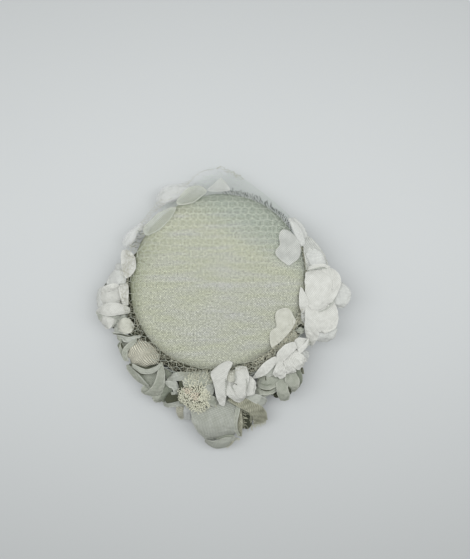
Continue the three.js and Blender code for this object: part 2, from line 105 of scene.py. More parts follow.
class Cloth:
    """A kind of woven cloth: a material slot's name, which is passed on but not used, and its colour, shaded colour
    and edge colour.

    The pitch of its threads and its relief are in metres. Where it is sheer, rim_cover says how much its cut edge
    covers. The weft's pitch is ribs times the warp's. The weave's turn is in radians, or differs by petal."""

    # The shade colour serves for random patches and for the painted shade towards a petal's heel; the edge colour,
    # mostly paler, is partly the cut ends' own paleness and partly painted highlight.
    pitch, contrast, relief, sheer, rim_cover, ribs, turn = 0.0008, 0.3, 0.0002, 0.0, 1.0, 1.0, None

    def __init__(self, slot, color, shade, edge, **changes):
        self.slot, self.color, self.shade, self.edge = slot, color, shade, edge
        vars(self).update(changes)


CLOTHS = {
    "cream_pale": Cloth("white_cloth", (0.625, 0.635, 0.6), (0.52, 0.53, 0.5), (0.72, 0.73, 0.67),
          contrast=0.75, relief=0.0003),
    "veil_pale": Cloth("gauze_cloth", (0.74, 0.75, 0.72), (0.66, 0.68, 0.64), (0.78, 0.79, 0.76),
          pitch=0.0009, contrast=0.34, sheer=0.4, rim_cover=0.9),
    "veil": Cloth("gauze_cloth", (0.66, 0.68, 0.6), (0.6, 0.63, 0.54), (0.84, 0.85, 0.8), pitch=0.0009,
          contrast=0.6, sheer=0.62, rim_cover=0.85),
    "cloud": Cloth("gauze_cloth", (0.86, 0.87, 0.85), (0.74, 0.75, 0.73), (0.76, 0.77, 0.75), pitch=0.0009,
          contrast=0.2, sheer=0.08, rim_cover=0.0),
    "white": Cloth("white_cloth", (0.7, 0.7, 0.66), (0.6, 0.6, 0.56), (0.76, 0.76, 0.72)),
    "grey_white": Cloth("grey_cloth", (0.53, 0.545, 0.495), (0.42, 0.435, 0.385), (0.66, 0.67, 0.62),
          contrast=0.24),
    "gauze": Cloth("gauze_cloth", (0.7, 0.705, 0.68), (0.64, 0.65, 0.62), (0.7, 0.71, 0.68), contrast=0.34,
          sheer=0.06, rim_cover=0.6),
    "gauze_grey": Cloth("gauze_cloth", (0.66, 0.675, 0.65), (0.6, 0.615, 0.59), (0.55, 0.57, 0.55),
          contrast=0.28, sheer=0.15, rim_cover=0.5),
    "cream": Cloth("white_cloth", (0.62, 0.62, 0.55), (0.54, 0.54, 0.47), (0.66, 0.66, 0.59), contrast=0.24),
    "grey": Cloth("grey_cloth", (0.52, 0.535, 0.485), (0.42, 0.435, 0.38), (0.52, 0.53, 0.47), pitch=0.0009,
          contrast=0.52, relief=0.0004, turn=0.5),
    "sage_pale": Cloth("sage_cloth", (0.465, 0.475, 0.415), (0.34, 0.36, 0.3), (0.62, 0.63, 0.56),
          contrast=0.34),
    "sage": Cloth("sage_cloth", (0.31, 0.33, 0.27), (0.22, 0.24, 0.19), (0.4, 0.42, 0.35)),
    # bunched: near-black cloth for lumps that are painted shade in the gaps under and beside the flowers.
    "bunched": Cloth("sage_cloth", (0.05, 0.055, 0.035), (0.03, 0.035, 0.02), (0.05, 0.055, 0.035),
          pitch=0.001),
    # frayed: dark cloth under the curls and beside raw edges, painted shade of the gaps between them.
    "frayed": Cloth("frayed_cloth", (0.2, 0.205, 0.15), (0.12, 0.125, 0.085), (0.42, 0.43, 0.34),
          pitch=0.0009, contrast=0.6, relief=0.0004),
    "tail": Cloth("gauze_cloth", (0.58, 0.57, 0.48), (0.5, 0.49, 0.39), (0.64, 0.63, 0.53), pitch=0.0009,
          contrast=0.5, relief=0.0003, sheer=0.3, rim_cover=0.6, ribs=6.0, turn=1.2),
    "rolled": Cloth("sage_cloth", (0.48, 0.495, 0.44), (0.39, 0.405, 0.35), (0.64, 0.65, 0.59)),
    # crease: near-black cloth that is painted shade in deep folds and holes.
    "crease": Cloth("sage_cloth", (0.085, 0.09, 0.06), (0.06, 0.065, 0.045), (0.11, 0.115, 0.08),
          pitch=0.001),
    "ribbed": Cloth("grey_cloth", (0.47, 0.465, 0.37), (0.28, 0.28, 0.21), (0.5, 0.5, 0.4), pitch=0.0009,
          contrast=0.62, relief=0.0004, ribs=6.0, turn=0.8),
    "bud": Cloth("sage_cloth", (0.74, 0.72, 0.6), (0.63, 0.61, 0.5), (0.66, 0.63, 0.49), pitch=0.00088,
          contrast=1.15, relief=0.0004, ribs=60.0, turn=0.5),
}

# Petals cut as strips of cloth. Each row: cloth, how round its tip and its heel are (0 to 1), the depth of its
# creases and of its ruffled edge, and its stations from heel to tip. A station is the x, y of one edge, the
# x, y of the other, the height between them, how far the cloth bulges up between them, and how far the second
# edge stands above the first, if it does; millimetres about the crown's axis.
FLOWERS = {
    "white_rose_south": (
        ("white", 0.2, 0.3, 0.45, 0.4, ((-4.8, -75, 7, -66.8, 50, 0.5), (-5, -78.5, 12, -70, 51.5, 1.5),
          (-3.8, -83, 8, -78, 51, 1.5), (-2.6, -89, 6.9, -87, 48.5, 1.5), (-1.4, -96, 7, -96, 46, 1.2),
          (0, -102.5, 6.2, -102.5, 42.5, 0.8), (2, -107, 5.4, -108, 40, 0.5))),
        ("cream", 0.4, 0.2, 0.5, 0.4, ((8.5, -74.5, 11.8, -75.4, 44, 1), (7, -80, 11.8, -81, 46.5, 1.4),
          (8.2, -85.5, 13, -86.5, 46, 1))),
        ("cream", 0.4, 0.2, 0.5, 0.4, ((12, -76.3, 15.4, -74.8, 45, 1), (10.8, -82, 16, -81, 47, 1.4),
          (11.5, -86, 16.4, -87.8, 46, 0.8))),
        ("white", 0.3, 0.3, 0.4, 0.3, ((16, -72.3, 24.3, -72, 46, 1.5), (15.2, -79, 26.2, -80, 49, 2.2),
          (15.3, -86, 25.5, -87, 49.5, 2.2), (13, -91, 23.8, -93, 49, 1.8),
          (14.5, -97.5, 23.4, -98.5, 47, 1.5), (18.5, -104.3, 22.5, -102.5, 40, 0.5))),
        ("white", 0.3, 0.3, 0.5, 0.3, ((6.8, -84, 11, -86, 45, 1), (6.8, -91, 14.5, -89.5, 47.3, 1.5),
          (8.2, -97, 17, -96, 46.8, 1.5), (13, -101.5, 19.5, -100.5, 44, 1),
          (18.5, -105, 22, -103, 39, 0.3))),
        ("white", 0.7, 0.2, 0.8, 0.5, ((22, -97, 23, -84.5, 44, 0), (25.5, -97.8, 26.5, -81.8, 45.3, 0.5, 1),
          (29.5, -97, 31, -84.8, 45.3, 0.3, 1), (32.6, -95.5, 33.6, -87.5, 43, 0))),
    ),
    "white_rose_southeast": (
        ("white", 0.2, 0.2, 0.4, 0.3, ((50, -63.8, 51.5, -66.8, 48.5, 0.5),
          (45.5, -65.5, 48.7, -70.6, 49.5, 1.4), (40, -69.5, 45.3, -75, 49, 1.6),
          (35.5, -74.8, 40.5, -79.5, 47, 1.4), (32.3, -79.6, 35.6, -82.4, 43.5, 0.8),
          (29.8, -82.9, 31, -83.7, 41, 0.1))),
        ("grey_white", 0.3, 0.2, 0.5, 0.4, ((49, -68, 51, -73, 46, 0.5), (44.5, -73, 48.5, -79, 46, 0.8),
          (37, -79.5, 43, -82.5, 43, 0.4))),
        ("white", 0.3, 0.3, 0.5, 0.4, ((46.5, -70, 50, -78, 46.5, 0), (54, -63, 60, -78, 47.5, 0),
          (64, -56.5, 72, -71, 47, 0), (71, -56, 75.5, -65, 45, 0))),
        ("white", 0.4, 0.3, 0.4, 0.3, ((51, -68, 54.3, -69.4, 48.8, 0.4), (50.6, -61.8, 58.4, -64.8, 51, 1.1),
          (54.5, -56.4, 62.3, -61, 52, 1.3), (60.5, -52.4, 65.4, -58.2, 51.7, 1.2),
          (66, -51.2, 68, -55.8, 50.2, 0.5))),
        ("white", 0.4, 0.3, 0.5, 0.4, ((65.2, -50.8, 67.4, -57, 49.4, 0.4), (69, -48, 70.8, -57.5, 50.4, 0.9),
          (73, -48.3, 73.8, -55, 49.8, 0.8), (77, -48.8, 77.2, -51, 46.8, 0.2))),
        ("white", 0.4, 0.4, 0.3, 0.2, ((77.4, -48, 78.6, -50, 47.4, 0.3), (75.3, -51.3, 77, -53.4, 50.4, 0.6),
          (71.5, -55.4, 73.7, -58.2, 51, 0.7), (68, -58.2, 69.8, -61, 50.4, 0.4))),
        ("grey_white", 0.3, 0.3, 0.4, 0.3, ((73.5, -53, 75.8, -57, 46, 0.6),
          (77, -49.8, 79.6, -53.5, 43.5, 0.5), (80.3, -53, 81.6, -57.5, 38, 0.3))),
        ("white", 0.6, 0.3, 0.9, 0.8, ((51, -67, 54.6, -65, 46.8, 0.4), (49.6, -72.6, 57.6, -71.6, 50.2, 1.1),
          (48, -78.6, 58.2, -78, 49, 1.1), (51, -83, 56.6, -82.6, 45.8, 0.5))),
        ("white", 0.6, 0.3, 0.9, 0.8, ((54.4, -65, 58.6, -62, 47.6, 0.4), (58, -72, 64.2, -69.6, 51.2, 1.1),
          (60, -77.6, 66.6, -75, 49.3, 1), (61.6, -79, 65, -77.6, 46, 0.4))),
        ("white", 0.6, 0.3, 0.9, 0.8, ((58.2, -62.6, 62, -59.2, 48.4, 0.4),
          (64.2, -70.4, 70, -66.2, 51.8, 1.2), (68, -74.6, 73, -70.2, 49.6, 1),
          (70.6, -74, 73, -72, 46.5, 0.4))),
        ("white", 0.6, 0.3, 0.8, 0.7, ((61.4, -59.8, 64.4, -57.2, 48.6, 0.4), (69, -66.6, 72.4, -62.4, 51, 1),
          (72.4, -70, 75.4, -66.4, 48.8, 0.8), (74.2, -69.6, 75.6, -68, 46.5, 0.3))),
        ("gauze", 0.6, 0.3, 0.5, 0.5, ((71, -60.5, 72, -66, 44, 0.5), (75.5, -59.2, 76.4, -67.2, 43, 1),
          (79.2, -61, 79.5, -65.5, 38, 0.5))),
        ("sage_pale", 0.6, 0.6, 0.3, 0.3, ((68, -42, 68.3, -43.6, 42, 0.2),
          (71.2, -39.4, 72.6, -44.6, 43, 0.8), (74.7, -41, 75, -43.4, 42, 0.2))),
    ),
    "white_rose_east": (
        ("white", 0.3, 0.3, 1, 0.4, ((77.2, 10.5, 94.5, 11.6, 48.4, 0.3), (76.6, 4.5, 101.4, 6, 49.8, 0.9),
          (76, -3.5, 103.6, -2, 50.6, 1), (76.6, -12, 100.4, -10.8, 51, 0.9),
          (79, -20.5, 97.4, -16.5, 51, 0.6), (83.4, -25, 93.6, -20.4, 50.4, 0.3))),
        ("white", 0.4, 0.4, 0.5, 0.3, ((88, 10.6, 92, 12.8, 49.4, 0.3), (93.4, 7, 98.4, 11, 51, 0.9),
          (97.4, 3.4, 103.6, 5.6, 51.7, 1.1), (98.8, -2.5, 105, -1.6, 51.5, 1.1),
          (97, -7, 102.5, -7.4, 51, 0.8), (93.4, -10.5, 97, -12.4, 50.4, 0.2))),
        ("white", 0.4, 0.3, 0.9, 0.6, ((84, -18, 98, -14.5, 46.8, 0.3), (83, -26, 101.2, -22.4, 48.8, 1),
          (83.6, -33, 101.6, -30.4, 50.2, 1.1), (85.4, -39.6, 99.4, -37.6, 49.6, 0.8),
          (89, -43.8, 95.2, -42.4, 47.2, 0.3))),
        ("white", 0.4, 0.4, 0.5, 0.4, ((99.4, -22.6, 102.6, -24, 48.6, 0.3),
          (98.8, -30.6, 102.8, -32, 50.4, 0.7), (95.4, -37.4, 99.8, -39.8, 50.2, 0.7),
          (88.6, -40.8, 91, -44.4, 48.6, 0.3))),
        ("white", 0.3, 0.4, 0.6, 0.3, ((76.4, -14, 84.6, -17, 48.4, 0.3), (75.6, -24, 85.6, -26, 49.8, 0.8),
          (75.4, -33, 86, -36, 49.8, 1), (75.2, -40, 86.4, -43.6, 47.6, 0.9),
          (76.6, -47.5, 85.2, -49.6, 44, 0.5), (79, -55, 82.4, -55.8, 38, 0.1))),
        ("gauze", 0.5, 0.3, 0.6, 0.5, ((97.5, 0.5, 104.4, 1.4, 45, 0.3), (99, -6, 111.6, -5, 47, 1),
          (99.4, -12, 113.8, -12, 47.2, 1.1), (100, -18, 112, -18.6, 46, 0.8),
          (102, -22, 107.4, -22.4, 43, 0.3))),
        ("gauze", 0.5, 0.2, 0.6, 0.5, ((83, -39, 101.3, -37.4, 45, 0.3),
          (84.2, -45.4, 101.6, -43.6, 45.4, 0.8), (85.8, -50, 99.8, -48.4, 42.5, 0.8),
          (90, -52.4, 96.4, -51.4, 38, 0.4))),
        ("cream_pale", 0.4, 0.2, 1.1, 0.9, ((77.4, 9, 95, 11, 47, 0.4), (76.4, 16.5, 92.4, 19, 48.4, 1),
          (74.6, 25, 88.6, 27, 48.4, 1), (73.4, 33, 82.4, 35, 47.6, 0.8),
          (69.6, 41.5, 73.8, 41.5, 46.4, 0.3))),
        ("gauze", 0.4, 0.4, 0.7, 0.8, ((75, 25, 80, 31, 48.6, 0.3), (77.6, 19, 87.6, 25.4, 50, 0.8),
          (80, 14.8, 91.6, 18.6, 50.4, 0.8), (83, 12.8, 92.5, 14.2, 49.4, 0.3))),
        ("white", 0.4, 0.4, 0.4, 0.4, ((76.3, 9.6, 77, 12.4, 48.8, 0.1), (83, 12.2, 83.4, 15, 50.8, 0.5),
          (90, 13, 90, 15.4, 50.8, 0.4), (95.6, 11.6, 96.6, 13.2, 49, 0.1))),
        ("white", 0.3, 0.3, 0.3, 0.3, ((70.5, -4, 72, -5, 53, 0.3), (69.8, -11, 75, -11, 52.5, 0.8),
          (69.8, -18, 77, -17.5, 51.5, 0.9), (71, -23.5, 76.4, -23, 49.5, 0.8),
          (73, -27, 75.3, -27, 47, 0.2))),
        ("gauze", 0.4, 0.3, 0.4, 0.4, ((72, -25, 79, -25, 46.5, 0.5), (72, -31, 79, -31, 46, 0.8),
          (74, -36, 79, -37, 44, 0.3))),
        ("gauze", 0.3, 0.2, 0.6, 0.6, ((60, 54.5, 62.5, 55, 48, 0.1), (63, 47.5, 68.7, 49, 50, 0.5),
          (66.5, 39, 73, 41, 50, 0.7), (69.5, 30, 75.5, 31.5, 48.5, 0.5))),
        ("gauze", 0.3, 0.2, 0.6, 0.6, ((63.5, 55.5, 66, 55.5, 45, 0.1), (67, 48.5, 72.6, 49, 46.5, 0.5),
          (70.6, 40.5, 76.6, 41.5, 46.5, 0.7), (73.4, 32, 79.4, 33, 45, 0.5))),
    ),
    "frayed_flower_south": (
        ("sage_pale", 0.5, 0.3, 0.9, 0.9, ((-27, -93, -16, -93, 42, 0.5), (-29.5, -86, -14, -86, 44, 1.5),
          (-27, -80.5, -14.5, -79.5, 42, 1), (-23, -77.8, -17, -77.2, 38, 0.2))),
        ("sage_pale", 0.5, 0.3, 0.9, 0.9, ((-16, -91, -8.5, -88.3, 42.5, 0.5),
          (-16, -85, -5.2, -85.5, 44.5, 1.2), (-13.5, -79, -5.4, -80, 42.5, 1),
          (-10, -76.5, -6, -77.5, 38, 0.2))),
        ("grey", 0.3, 0.3, 0.4, 0.4, ((-14.5, -98, -13.5, -90, 42, 0.5), (-9, -98.8, -8.5, -88.8, 43.5, 1.5),
          (-3.8, -98, -3.6, -86.8, 41, 1))),
        ("sage_pale", 0.5, 0.3, 0.5, 0.6, ((-12, -98, -11.5, -100.8, 41.5, 0.3),
          (-7.5, -98.5, -9.5, -104, 42, 1), (-2.6, -100.5, -6, -107, 39.5, 1),
          (-0.3, -105, -2, -109.5, 35, 0.4))),
        ("frayed", 0.5, 0.3, 0.8, 0.8, ((-26, -92, -26, -85, 40, 0.3), (-31, -92.5, -30.5, -86, 38, 0.8))),
        ("frayed", 0.5, 0.3, 0.8, 0.9, ((-27, -95, -26, -103, 41, 0.5), (-31, -95, -30.5, -105, 40, 1),
          (-35, -98, -34, -105, 35, 0.5))),
        ("frayed", 0.5, 0.3, 1, 1, ((-20, -97, -20, -90.5, 43, 0.5), (-25, -98, -26, -90.5, 45, 1),
          (-31, -97, -30, -91.5, 42, 0.4))),
        ("frayed", 0.5, 0.3, 1, 1, ((-25.5, -95, -19.5, -95, 44, 0.5), (-26.5, -100, -19, -100, 45.5, 1),
          (-24.5, -104.5, -19, -105, 43, 0.4))),
        ("frayed", 0.5, 0.3, 1, 1, ((-22.5, -95.5, -16, -94.5, 45, 0.5), (-21, -100.5, -13.5, -99, 46.5, 1),
          (-18, -105, -12, -103.5, 44, 0.4))),
        ("frayed", 0.5, 0.3, 1, 1, ((-20.5, -97.5, -20, -90, 43, 0.5), (-16, -97.5, -16, -89.5, 44, 1),
          (-12.8, -96, -13, -91, 42, 0.4))),
        ("frayed", 0.5, 0.2, 0.9, 0.9, ((-28, -99, -12, -99, 39.5, 0.5), (-29, -105, -9.5, -105, 39.5, 1),
          (-26, -110, -9, -110, 37, 0.6))),
    ),
    "white_flower_west": (
        ("white", 0.4, 0.3, 0.3, 0.3, ((-76, -22.5, -76, -26.6, 42, 1), (-84, -19, -83, -27.5, 46, 2.2),
          (-91, -18.2, -91, -28.6, 47, 2.8), (-98, -19.8, -98, -28.3, 44.5, 2.4),
          (-103, -23, -102.5, -27.3, 40, 1), (-106, -25, -105.5, -27, 36, 0.3))),
        ("grey_white", 0.4, 0.3, 0.3, 0.3, ((-101, -25.5, -99, -28.5, 37, 0.3),
          (-106.5, -26, -102, -31, 35, 0.5), (-106, -32, -104, -34.5, 31, 0.3))),
        ("white", 0.6, 0.3, 0.4, 0.3, ((-85, -2.5, -84, -18.5, 41, -0.5, -4),
          (-90, -2.2, -89.5, -18.5, 41, -0.8, -5), (-95, -3.2, -95, -19, 40, -0.5, -5),
          (-100, -5.8, -99, -19.5, 37, 0.5, -4), (-103.5, -10, -102, -19, 33, 0.5, -2))),
        ("white", 0.4, 0.4, 0.3, 0.3, ((-85.5, -2.3, -85, -5, 42, 0.6, -1),
          (-91, -1.8, -90.5, -7, 43, 1.4, -2), (-96.5, -3.5, -95.5, -8.5, 41.5, 1.2, -2),
          (-102, -7.5, -99.5, -11, 37, 0.6, -2))),
        ("gauze", 0.6, 0.3, 0.4, 0.4, ((-99, -4, -99, -22, 33, 0), (-104, -6, -104, -23, 32, 1),
          (-107.5, -11, -107.5, -19, 27, 0.4))),
        ("white", 0.2, 0.2, 0.3, 0.3, ((-83.4, -1.8, -79.6, -0.6, 42.5, 0.3),
          (-85, -4, -77.6, -2.8, 44.6, 0.8), (-84.4, -9, -77.2, -9, 46, 1), (-83.2, -14, -77.4, -14, 45.8, 1),
          (-81.6, -20.5, -77.6, -20.5, 43, 0.4))),
        ("gauze", 0.6, 0.3, 0.5, 0.6, ((-79, -1, -79, 9, 43, 0.8), (-85, -1.5, -85, 10, 43, 1.5),
          (-92, -4, -91, 9, 39, 1.3), (-98.5, -5, -96.5, 4.5, 35, 0.4))),
        ("gauze", 0.6, 0.3, 0.5, 0.6, ((-79, 6, -80, 15, 40, 0.5), (-85, 7, -85, 16, 38, 1),
          (-91, 10, -90, 15, 33, 0.4))),
        ("white", 0.5, 0.3, 0.4, 0.4, ((-90.5, -29.5, -88.5, -34, 37, 0.5), (-97, -29.5, -94, -39.5, 38, 1.2),
          (-102.5, -32, -97, -41, 33, 1), (-104.5, -35, -101, -39.5, 28, 0.3))),
        ("cream", 0.3, 0.2, 1.1, 0.9, ((-72.4, -38.4, -72.4, -40.2, 41, 0.4),
          (-77, -32.2, -76, -43.4, 43, 1.1), (-83.6, -32.4, -82, -44, 42, 1.2),
          (-87.4, -36.4, -87, -41.6, 37, 0.5))),
        ("grey_white", 0.5, 0.3, 0.5, 0.4, ((-80, -29, -79, -33, 38, 0.3), (-86, -31, -85, -44.5, 37, 0.8),
          (-91.5, -39.5, -91, -45, 33, 0.5))),
        ("grey", 0.2, 0.2, 0.3, 0.3, ((-85, -27.5, -85, -33, 38, 0), (-90.5, -28, -90, -33, 38, 0.3))),
        ("grey_white", 0.3, 0.3, 0.2, 0.2, ((-67, -46.5, -67, -48.3, 41, 0.6),
          (-74, -46.9, -74, -49.3, 41, 1), (-82, -45.2, -81.6, -47.8, 40.5, 1),
          (-88, -44, -88, -46.2, 38, 0.8), (-93, -43.8, -92.5, -45.6, 34, 0.2))),
    ),
    "bud_rose_southwest": (
        ("rolled", 0.3, 0.3, 0.3, 0.3, ((-76.5, -71.5, -76, -73.5, 36, 0.2),
          (-73, -71.6, -71.5, -76.3, 39, 2), (-67.3, -74.4, -67, -79, 40.5, 2.4),
          (-61, -75.8, -60.5, -79.8, 41, 2.4), (-55, -73.8, -54, -77.6, 41.5, 2),
          (-49.5, -70.5, -49.5, -73.6, 41.5, 0.6))),
        ("sage_pale", 0.2, 0, 0.3, 0.2, ((-71, -78, -51, -76, 31, -2), (-67.5, -84, -53.5, -85, 29.5, -2),
          (-64.5, -89.5, -56, -91, 28, -1.5), (-61.5, -95, -59, -95.5, 27, 0))),
        ("sage_pale", 0.3, 0.3, 0.4, 0.3, ((-81, -73, -78, -72.5, 32, 0.2, 1),
          (-80.3, -77, -74.5, -77, 31.5, 0.6, 3), (-77, -82, -69.5, -81.5, 30.5, 0.8, 3.5),
          (-72.5, -87.5, -65.5, -87.5, 28.5, 0.8, 3.5), (-66, -91.5, -61, -94, 26, 0.4, 2))),
        ("sage_pale", 0.5, 0.4, 0.5, 0.5, ((-69.5, -48.6, -70.6, -51.5, 41, 0.3),
          (-76.5, -52.5, -74, -55.5, 40.5, 1.2), (-81.8, -57.6, -78, -59, 39.5, 1.4),
          (-83.4, -63.5, -79.2, -63.8, 38, 1.4), (-81.5, -69.5, -78, -69.5, 36, 0.8))),
        ("sage_pale", 0.4, 0.4, 0.5, 0.4, ((-89, -47.8, -87.5, -50.5, 35, 0.3),
          (-84.5, -50, -82.5, -55, 37, 1), (-86, -56, -82, -58, 35.5, 0.8), (-86.3, -62, -82.8, -63, 33, 0.5),
          (-83.5, -69, -81, -70, 31, 0.2))),
        ("sage_pale", 0.3, 0.3, 0.3, 0.3, ((-87.5, -49.5, -83, -47.5, 29, 0.2),
          (-85, -56, -76, -53.5, 31, 0.4), (-84.5, -64, -76, -62, 30, 0.4))),
        ("sage", 0.3, 0.3, 0.3, 0.3, ((-86, -52.5, -84.5, -53, 33, 0), (-88.3, -55.5, -85.2, -56, 32, -0.5),
          (-87, -60, -85, -60.5, 30, -0.3))),
        ("grey_white", 0.4, 0.4, 0.5, 0.5, ((-89, -46.6, -88, -49, 34, 0.2),
          (-84, -47.4, -81.5, -52, 37, 0.6), (-77, -48.8, -76, -52.5, 39, 0.6),
          (-70.5, -48.6, -71.5, -51, 40, 0.3))),
        ("sage_pale", 0.4, 0.3, 0.5, 0.4, ((-50.5, -70, -48.5, -69.5, 41, 0.2),
          (-52, -76.5, -46.8, -76.5, 40, 0.8), (-53.3, -83, -46.3, -83, 38.5, 1.2),
          (-56, -89, -47.2, -89.5, 36, 1.5), (-60.5, -95.5, -49.5, -96, 32, 1.8),
          (-66.5, -100, -53, -102.5, 25, 1))),
        ("sage_pale", 0.5, 0.2, 0.5, 0.5, ((-66, -91.5, -61, -94.5, 27, 0.4),
          (-68.5, -96, -62, -98, 25.5, 0.8), (-68.5, -100, -61, -102, 20, 0.5))),
        ("sage_pale", 0.6, 0.3, 0.6, 0.6, ((-58, -100, -51, -98.5, 27, 0.5), (-58, -105, -50, -103.5, 25, 1),
          (-55, -109, -51.5, -107.5, 18, 0.4))),
        ("sage", 0.4, 0.3, 0.5, 0.4, ((-46.8, -88, -43, -89.5, 33, 0.4), (-48, -94.5, -40.5, -94.5, 31.5, 1),
          (-50.5, -101, -44.5, -101, 28, 1), (-51, -107, -48.5, -107.5, 22, 0.3))),
        ("sage", 0.2, 0.2, 0.3, 0.2, ((-46.5, -76, -40, -79.5, 36, 0), (-46, -81, -42, -81.5, 35, 0),
          (-45, -86.5, -44, -86.8, 33, 0))),
    ),
    "sage_flower_southeast": (
        ("sage_pale", 0.5, 0.3, 0.8, 0.5, ((52, -82.5, 52.5, -89, 40, 1), (46.7, -81.5, 47.2, -92, 41, 2),
          (41, -81.2, 41.6, -93.4, 40, 2.2), (36.5, -83.4, 36.3, -92, 37, 1.6),
          (33.8, -87, 33.6, -90, 33, 0.6))),
        ("sage_pale", 0.4, 0.3, 0.8, 0.6, ((52.5, -86, 53.5, -93.5, 37, 1), (47, -90, 47.5, -97, 38, 1.6),
          (40, -91.5, 40, -98.4, 37.5, 1.4), (35, -90.5, 34.6, -97.6, 34, 1),
          (32.4, -92.5, 32, -96.4, 30, 0.5))),
        ("sage_pale", 0.4, 0.3, 0.7, 0.8, ((50.5, -94, 49.5, -98.2, 33, 0.5),
          (45, -95.5, 44.6, -99.4, 33.5, 1), (40, -96.5, 39.5, -101, 32, 1),
          (35.5, -96, 36, -98.8, 29, 0.4))),
        ("sage_pale", 0.5, 0.3, 0.6, 0.4, ((51.5, -83.5, 60, -82.5, 40, 1), (51, -91, 60, -90.5, 42, 1.8),
          (52, -98, 62, -98.5, 39.5, 2), (55.5, -104.5, 61.5, -104, 32, 1))),
        ("sage", 0.4, 0.3, 0.4, 0.3, ((58.5, -87, 62, -87, 36, 0), (59.5, -94, 65, -94, 34, 0.5),
          (60.5, -101, 64, -100, 27, 0.5))),
        ("sage_pale", 0.3, 0.3, 0.4, 0.2, ((60.5, -77.5, 66.5, -77.5, 42, 1), (58.4, -84, 70, -84.5, 44, 2.2),
          (61, -90.5, 69.5, -91, 41.5, 2), (65.5, -97, 67.5, -96.5, 34, 0.4))),
        ("sage", 0.4, 0.3, 0.4, 0.2, ((66, -76, 71.5, -75.5, 39, 1), (67.5, -83, 73.2, -82.5, 39, 1.3),
          (67, -90, 73, -88.5, 36.5, 1.3), (65, -96.5, 69, -95.5, 28, 0.6))),
        ("frayed", 0.4, 0.3, 0.3, 0.3, ((71, -74, 74, -74.5, 38, 0.2), (71.5, -80, 75.2, -81, 34, 0.4))),
        ("sage", 0.4, 0.3, 0.4, 0.3, ((44.5, -78.5, 44.5, -84.5, 36, 0.5), (51, -79, 51, -85, 36, 0.5))),
        ("sage", 0.4, 0.3, 0.4, 0.3, ((39.5, -80.5, 40, -86, 36, 0.4), (34.5, -83.5, 35, -88, 35, 0.4))),
    ),
    "grey_rose_south": (
        ("grey", 0.2, 0, 0.5, 0.3, ((-21.6, -99, 14, -99, 29, 3), (-22, -112, 14, -112, 33, 5),
          (-21, -122, 14, -122, 33.5, 6), (-17.6, -130, 14, -130, 31, 5, -1),
          (-12.6, -137, 13.6, -136, 25, 3, -5), (-8, -142.4, 12.8, -139.5, 19, 1, -7))),
        ("grey", 0.6, 0.8, 0.5, 0.4, ((-11, -139.6, -12.4, -141.4, 26, 0.2, -1),
          (-8.6, -140.6, -10.8, -144, 25, 0.8, -4), (-4.6, -141.2, -7.4, -147, 23.5, 1.8, -8),
          (0.5, -140.2, -1, -149.6, 22.5, 3, -10), (6.5, -138.5, 6.5, -148.2, 23, 3, -9),
          (11.5, -137.8, 12.5, -143.5, 24, 1.8, -5), (15, -137.2, 16, -140, 24.5, 0.5, -2))),
        # A thin dark strip: painted shade along the crease above the ball's lip.
        ("sage", 0.7, 0.7, 0.2, 0.2, ((-2, -139.6, -2.3, -140.4, 25.2, 0),
          (3.5, -136.8, 3.8, -138.4, 26.2, 0.3), (9, -135.8, 9, -137.4, 26.4, 0.3),
          (14, -136.4, 14.3, -137.4, 25.4, 0))),
        ("ribbed", 0.3, 0.2, 0.3, 0.4, ((11, -139, 14.5, -140, 24, 0.2), (7.5, -140.6, 12.5, -143.5, 24, 0.6),
          (4.5, -144, 9, -147.8, 19, 0.4))),
        ("sage_pale", 0.2, 0.2, 0.3, 0.5, ((17.2, -104, 20, -104, 36, 0.4),
          (15.2, -113, 18.8, -113, 35.5, 0.6), (13.8, -121.5, 17, -121.5, 34.5, 0.6),
          (14.2, -129.5, 17, -129.5, 31, 0.6), (17.4, -137.6, 19.2, -136.6, 24, 0.3))),
        ("ribbed", 0.2, 0.2, 0.3, 0.5, ((18.5, -105, 20.5, -107, 33, 0.3),
          (17.8, -113.5, 20.6, -115, 32.5, 0.5), (16.6, -122.5, 21.4, -124, 31, 0.5),
          (17, -131, 21, -131.6, 27, 0.5), (19, -138.4, 20.8, -138.2, 20, 0.3))),
        ("ribbed", 0.1, 0.1, 0.4, 0.4, ((11, -99.5, 8, -103, 38, 0.2), (20, -101.5, 17, -108, 38.5, 0.8),
          (28, -103, 24, -112, 37.5, 1.5), (36, -108, 30, -116, 34.5, 2), (42, -115, 31.5, -121, 29, 2),
          (43.5, -124, 32, -128, 20, 1.5))),
        # A dark strip: painted shade below the ribbed petal's edge.
        ("frayed", 0.1, 0.1, 0.2, 0.2, ((9, -101, 9, -104.5, 35, 0), (18, -106.5, 17.3, -110, 35, 0),
          (24.5, -111, 23.2, -114, 33.5, 0), (30.5, -115.5, 29, -118.5, 30.5, 0))),
        ("ribbed", 0.1, 0.2, 0.3, 0.4, ((29, -117, 30.5, -118, 25, 0.2), (28, -123, 30.2, -124, 22, 0.2),
          (26.5, -128, 28.5, -129, 17, 0.2))),
        # A near-black strip: painted shade deep in the hole.
        ("crease", 0.1, 0.2, 0.3, 0.4, ((19, -110, 27, -112, 26, 0.2), (19, -118, 30, -120, 23, 0.2),
          (20, -127, 29, -128, 19, 0.2), (21, -133, 27, -133, 14, 0.2))),
        ("grey_white", 0.4, 0.3, 0.4, 0.3, ((22, -96, 21, -100, 37, 0.3), (30, -97, 27, -102.5, 38, 0.9),
          (37, -99.5, 33, -106, 36.5, 1.3), (42, -103, 38.5, -109, 31, 1), (43, -106, 41, -109, 27, 0.2))),
    ),
    "small_petals_southwest": (
        ("grey", 0.2, 0.2, 0.4, 0.3, ((-25, -79, -27, -84, 42, 0.3), (-32, -78.3, -32, -85, 42.5, 1.2),
          (-39, -79.8, -38.5, -85.8, 40.5, 1.2), (-45.5, -86.3, -45, -87.5, 35.5, 0.2))),
        ("grey_white", 0.3, 0.2, 0.5, 0.4, ((-47, -87, -46.5, -89.5, 35, 0.2),
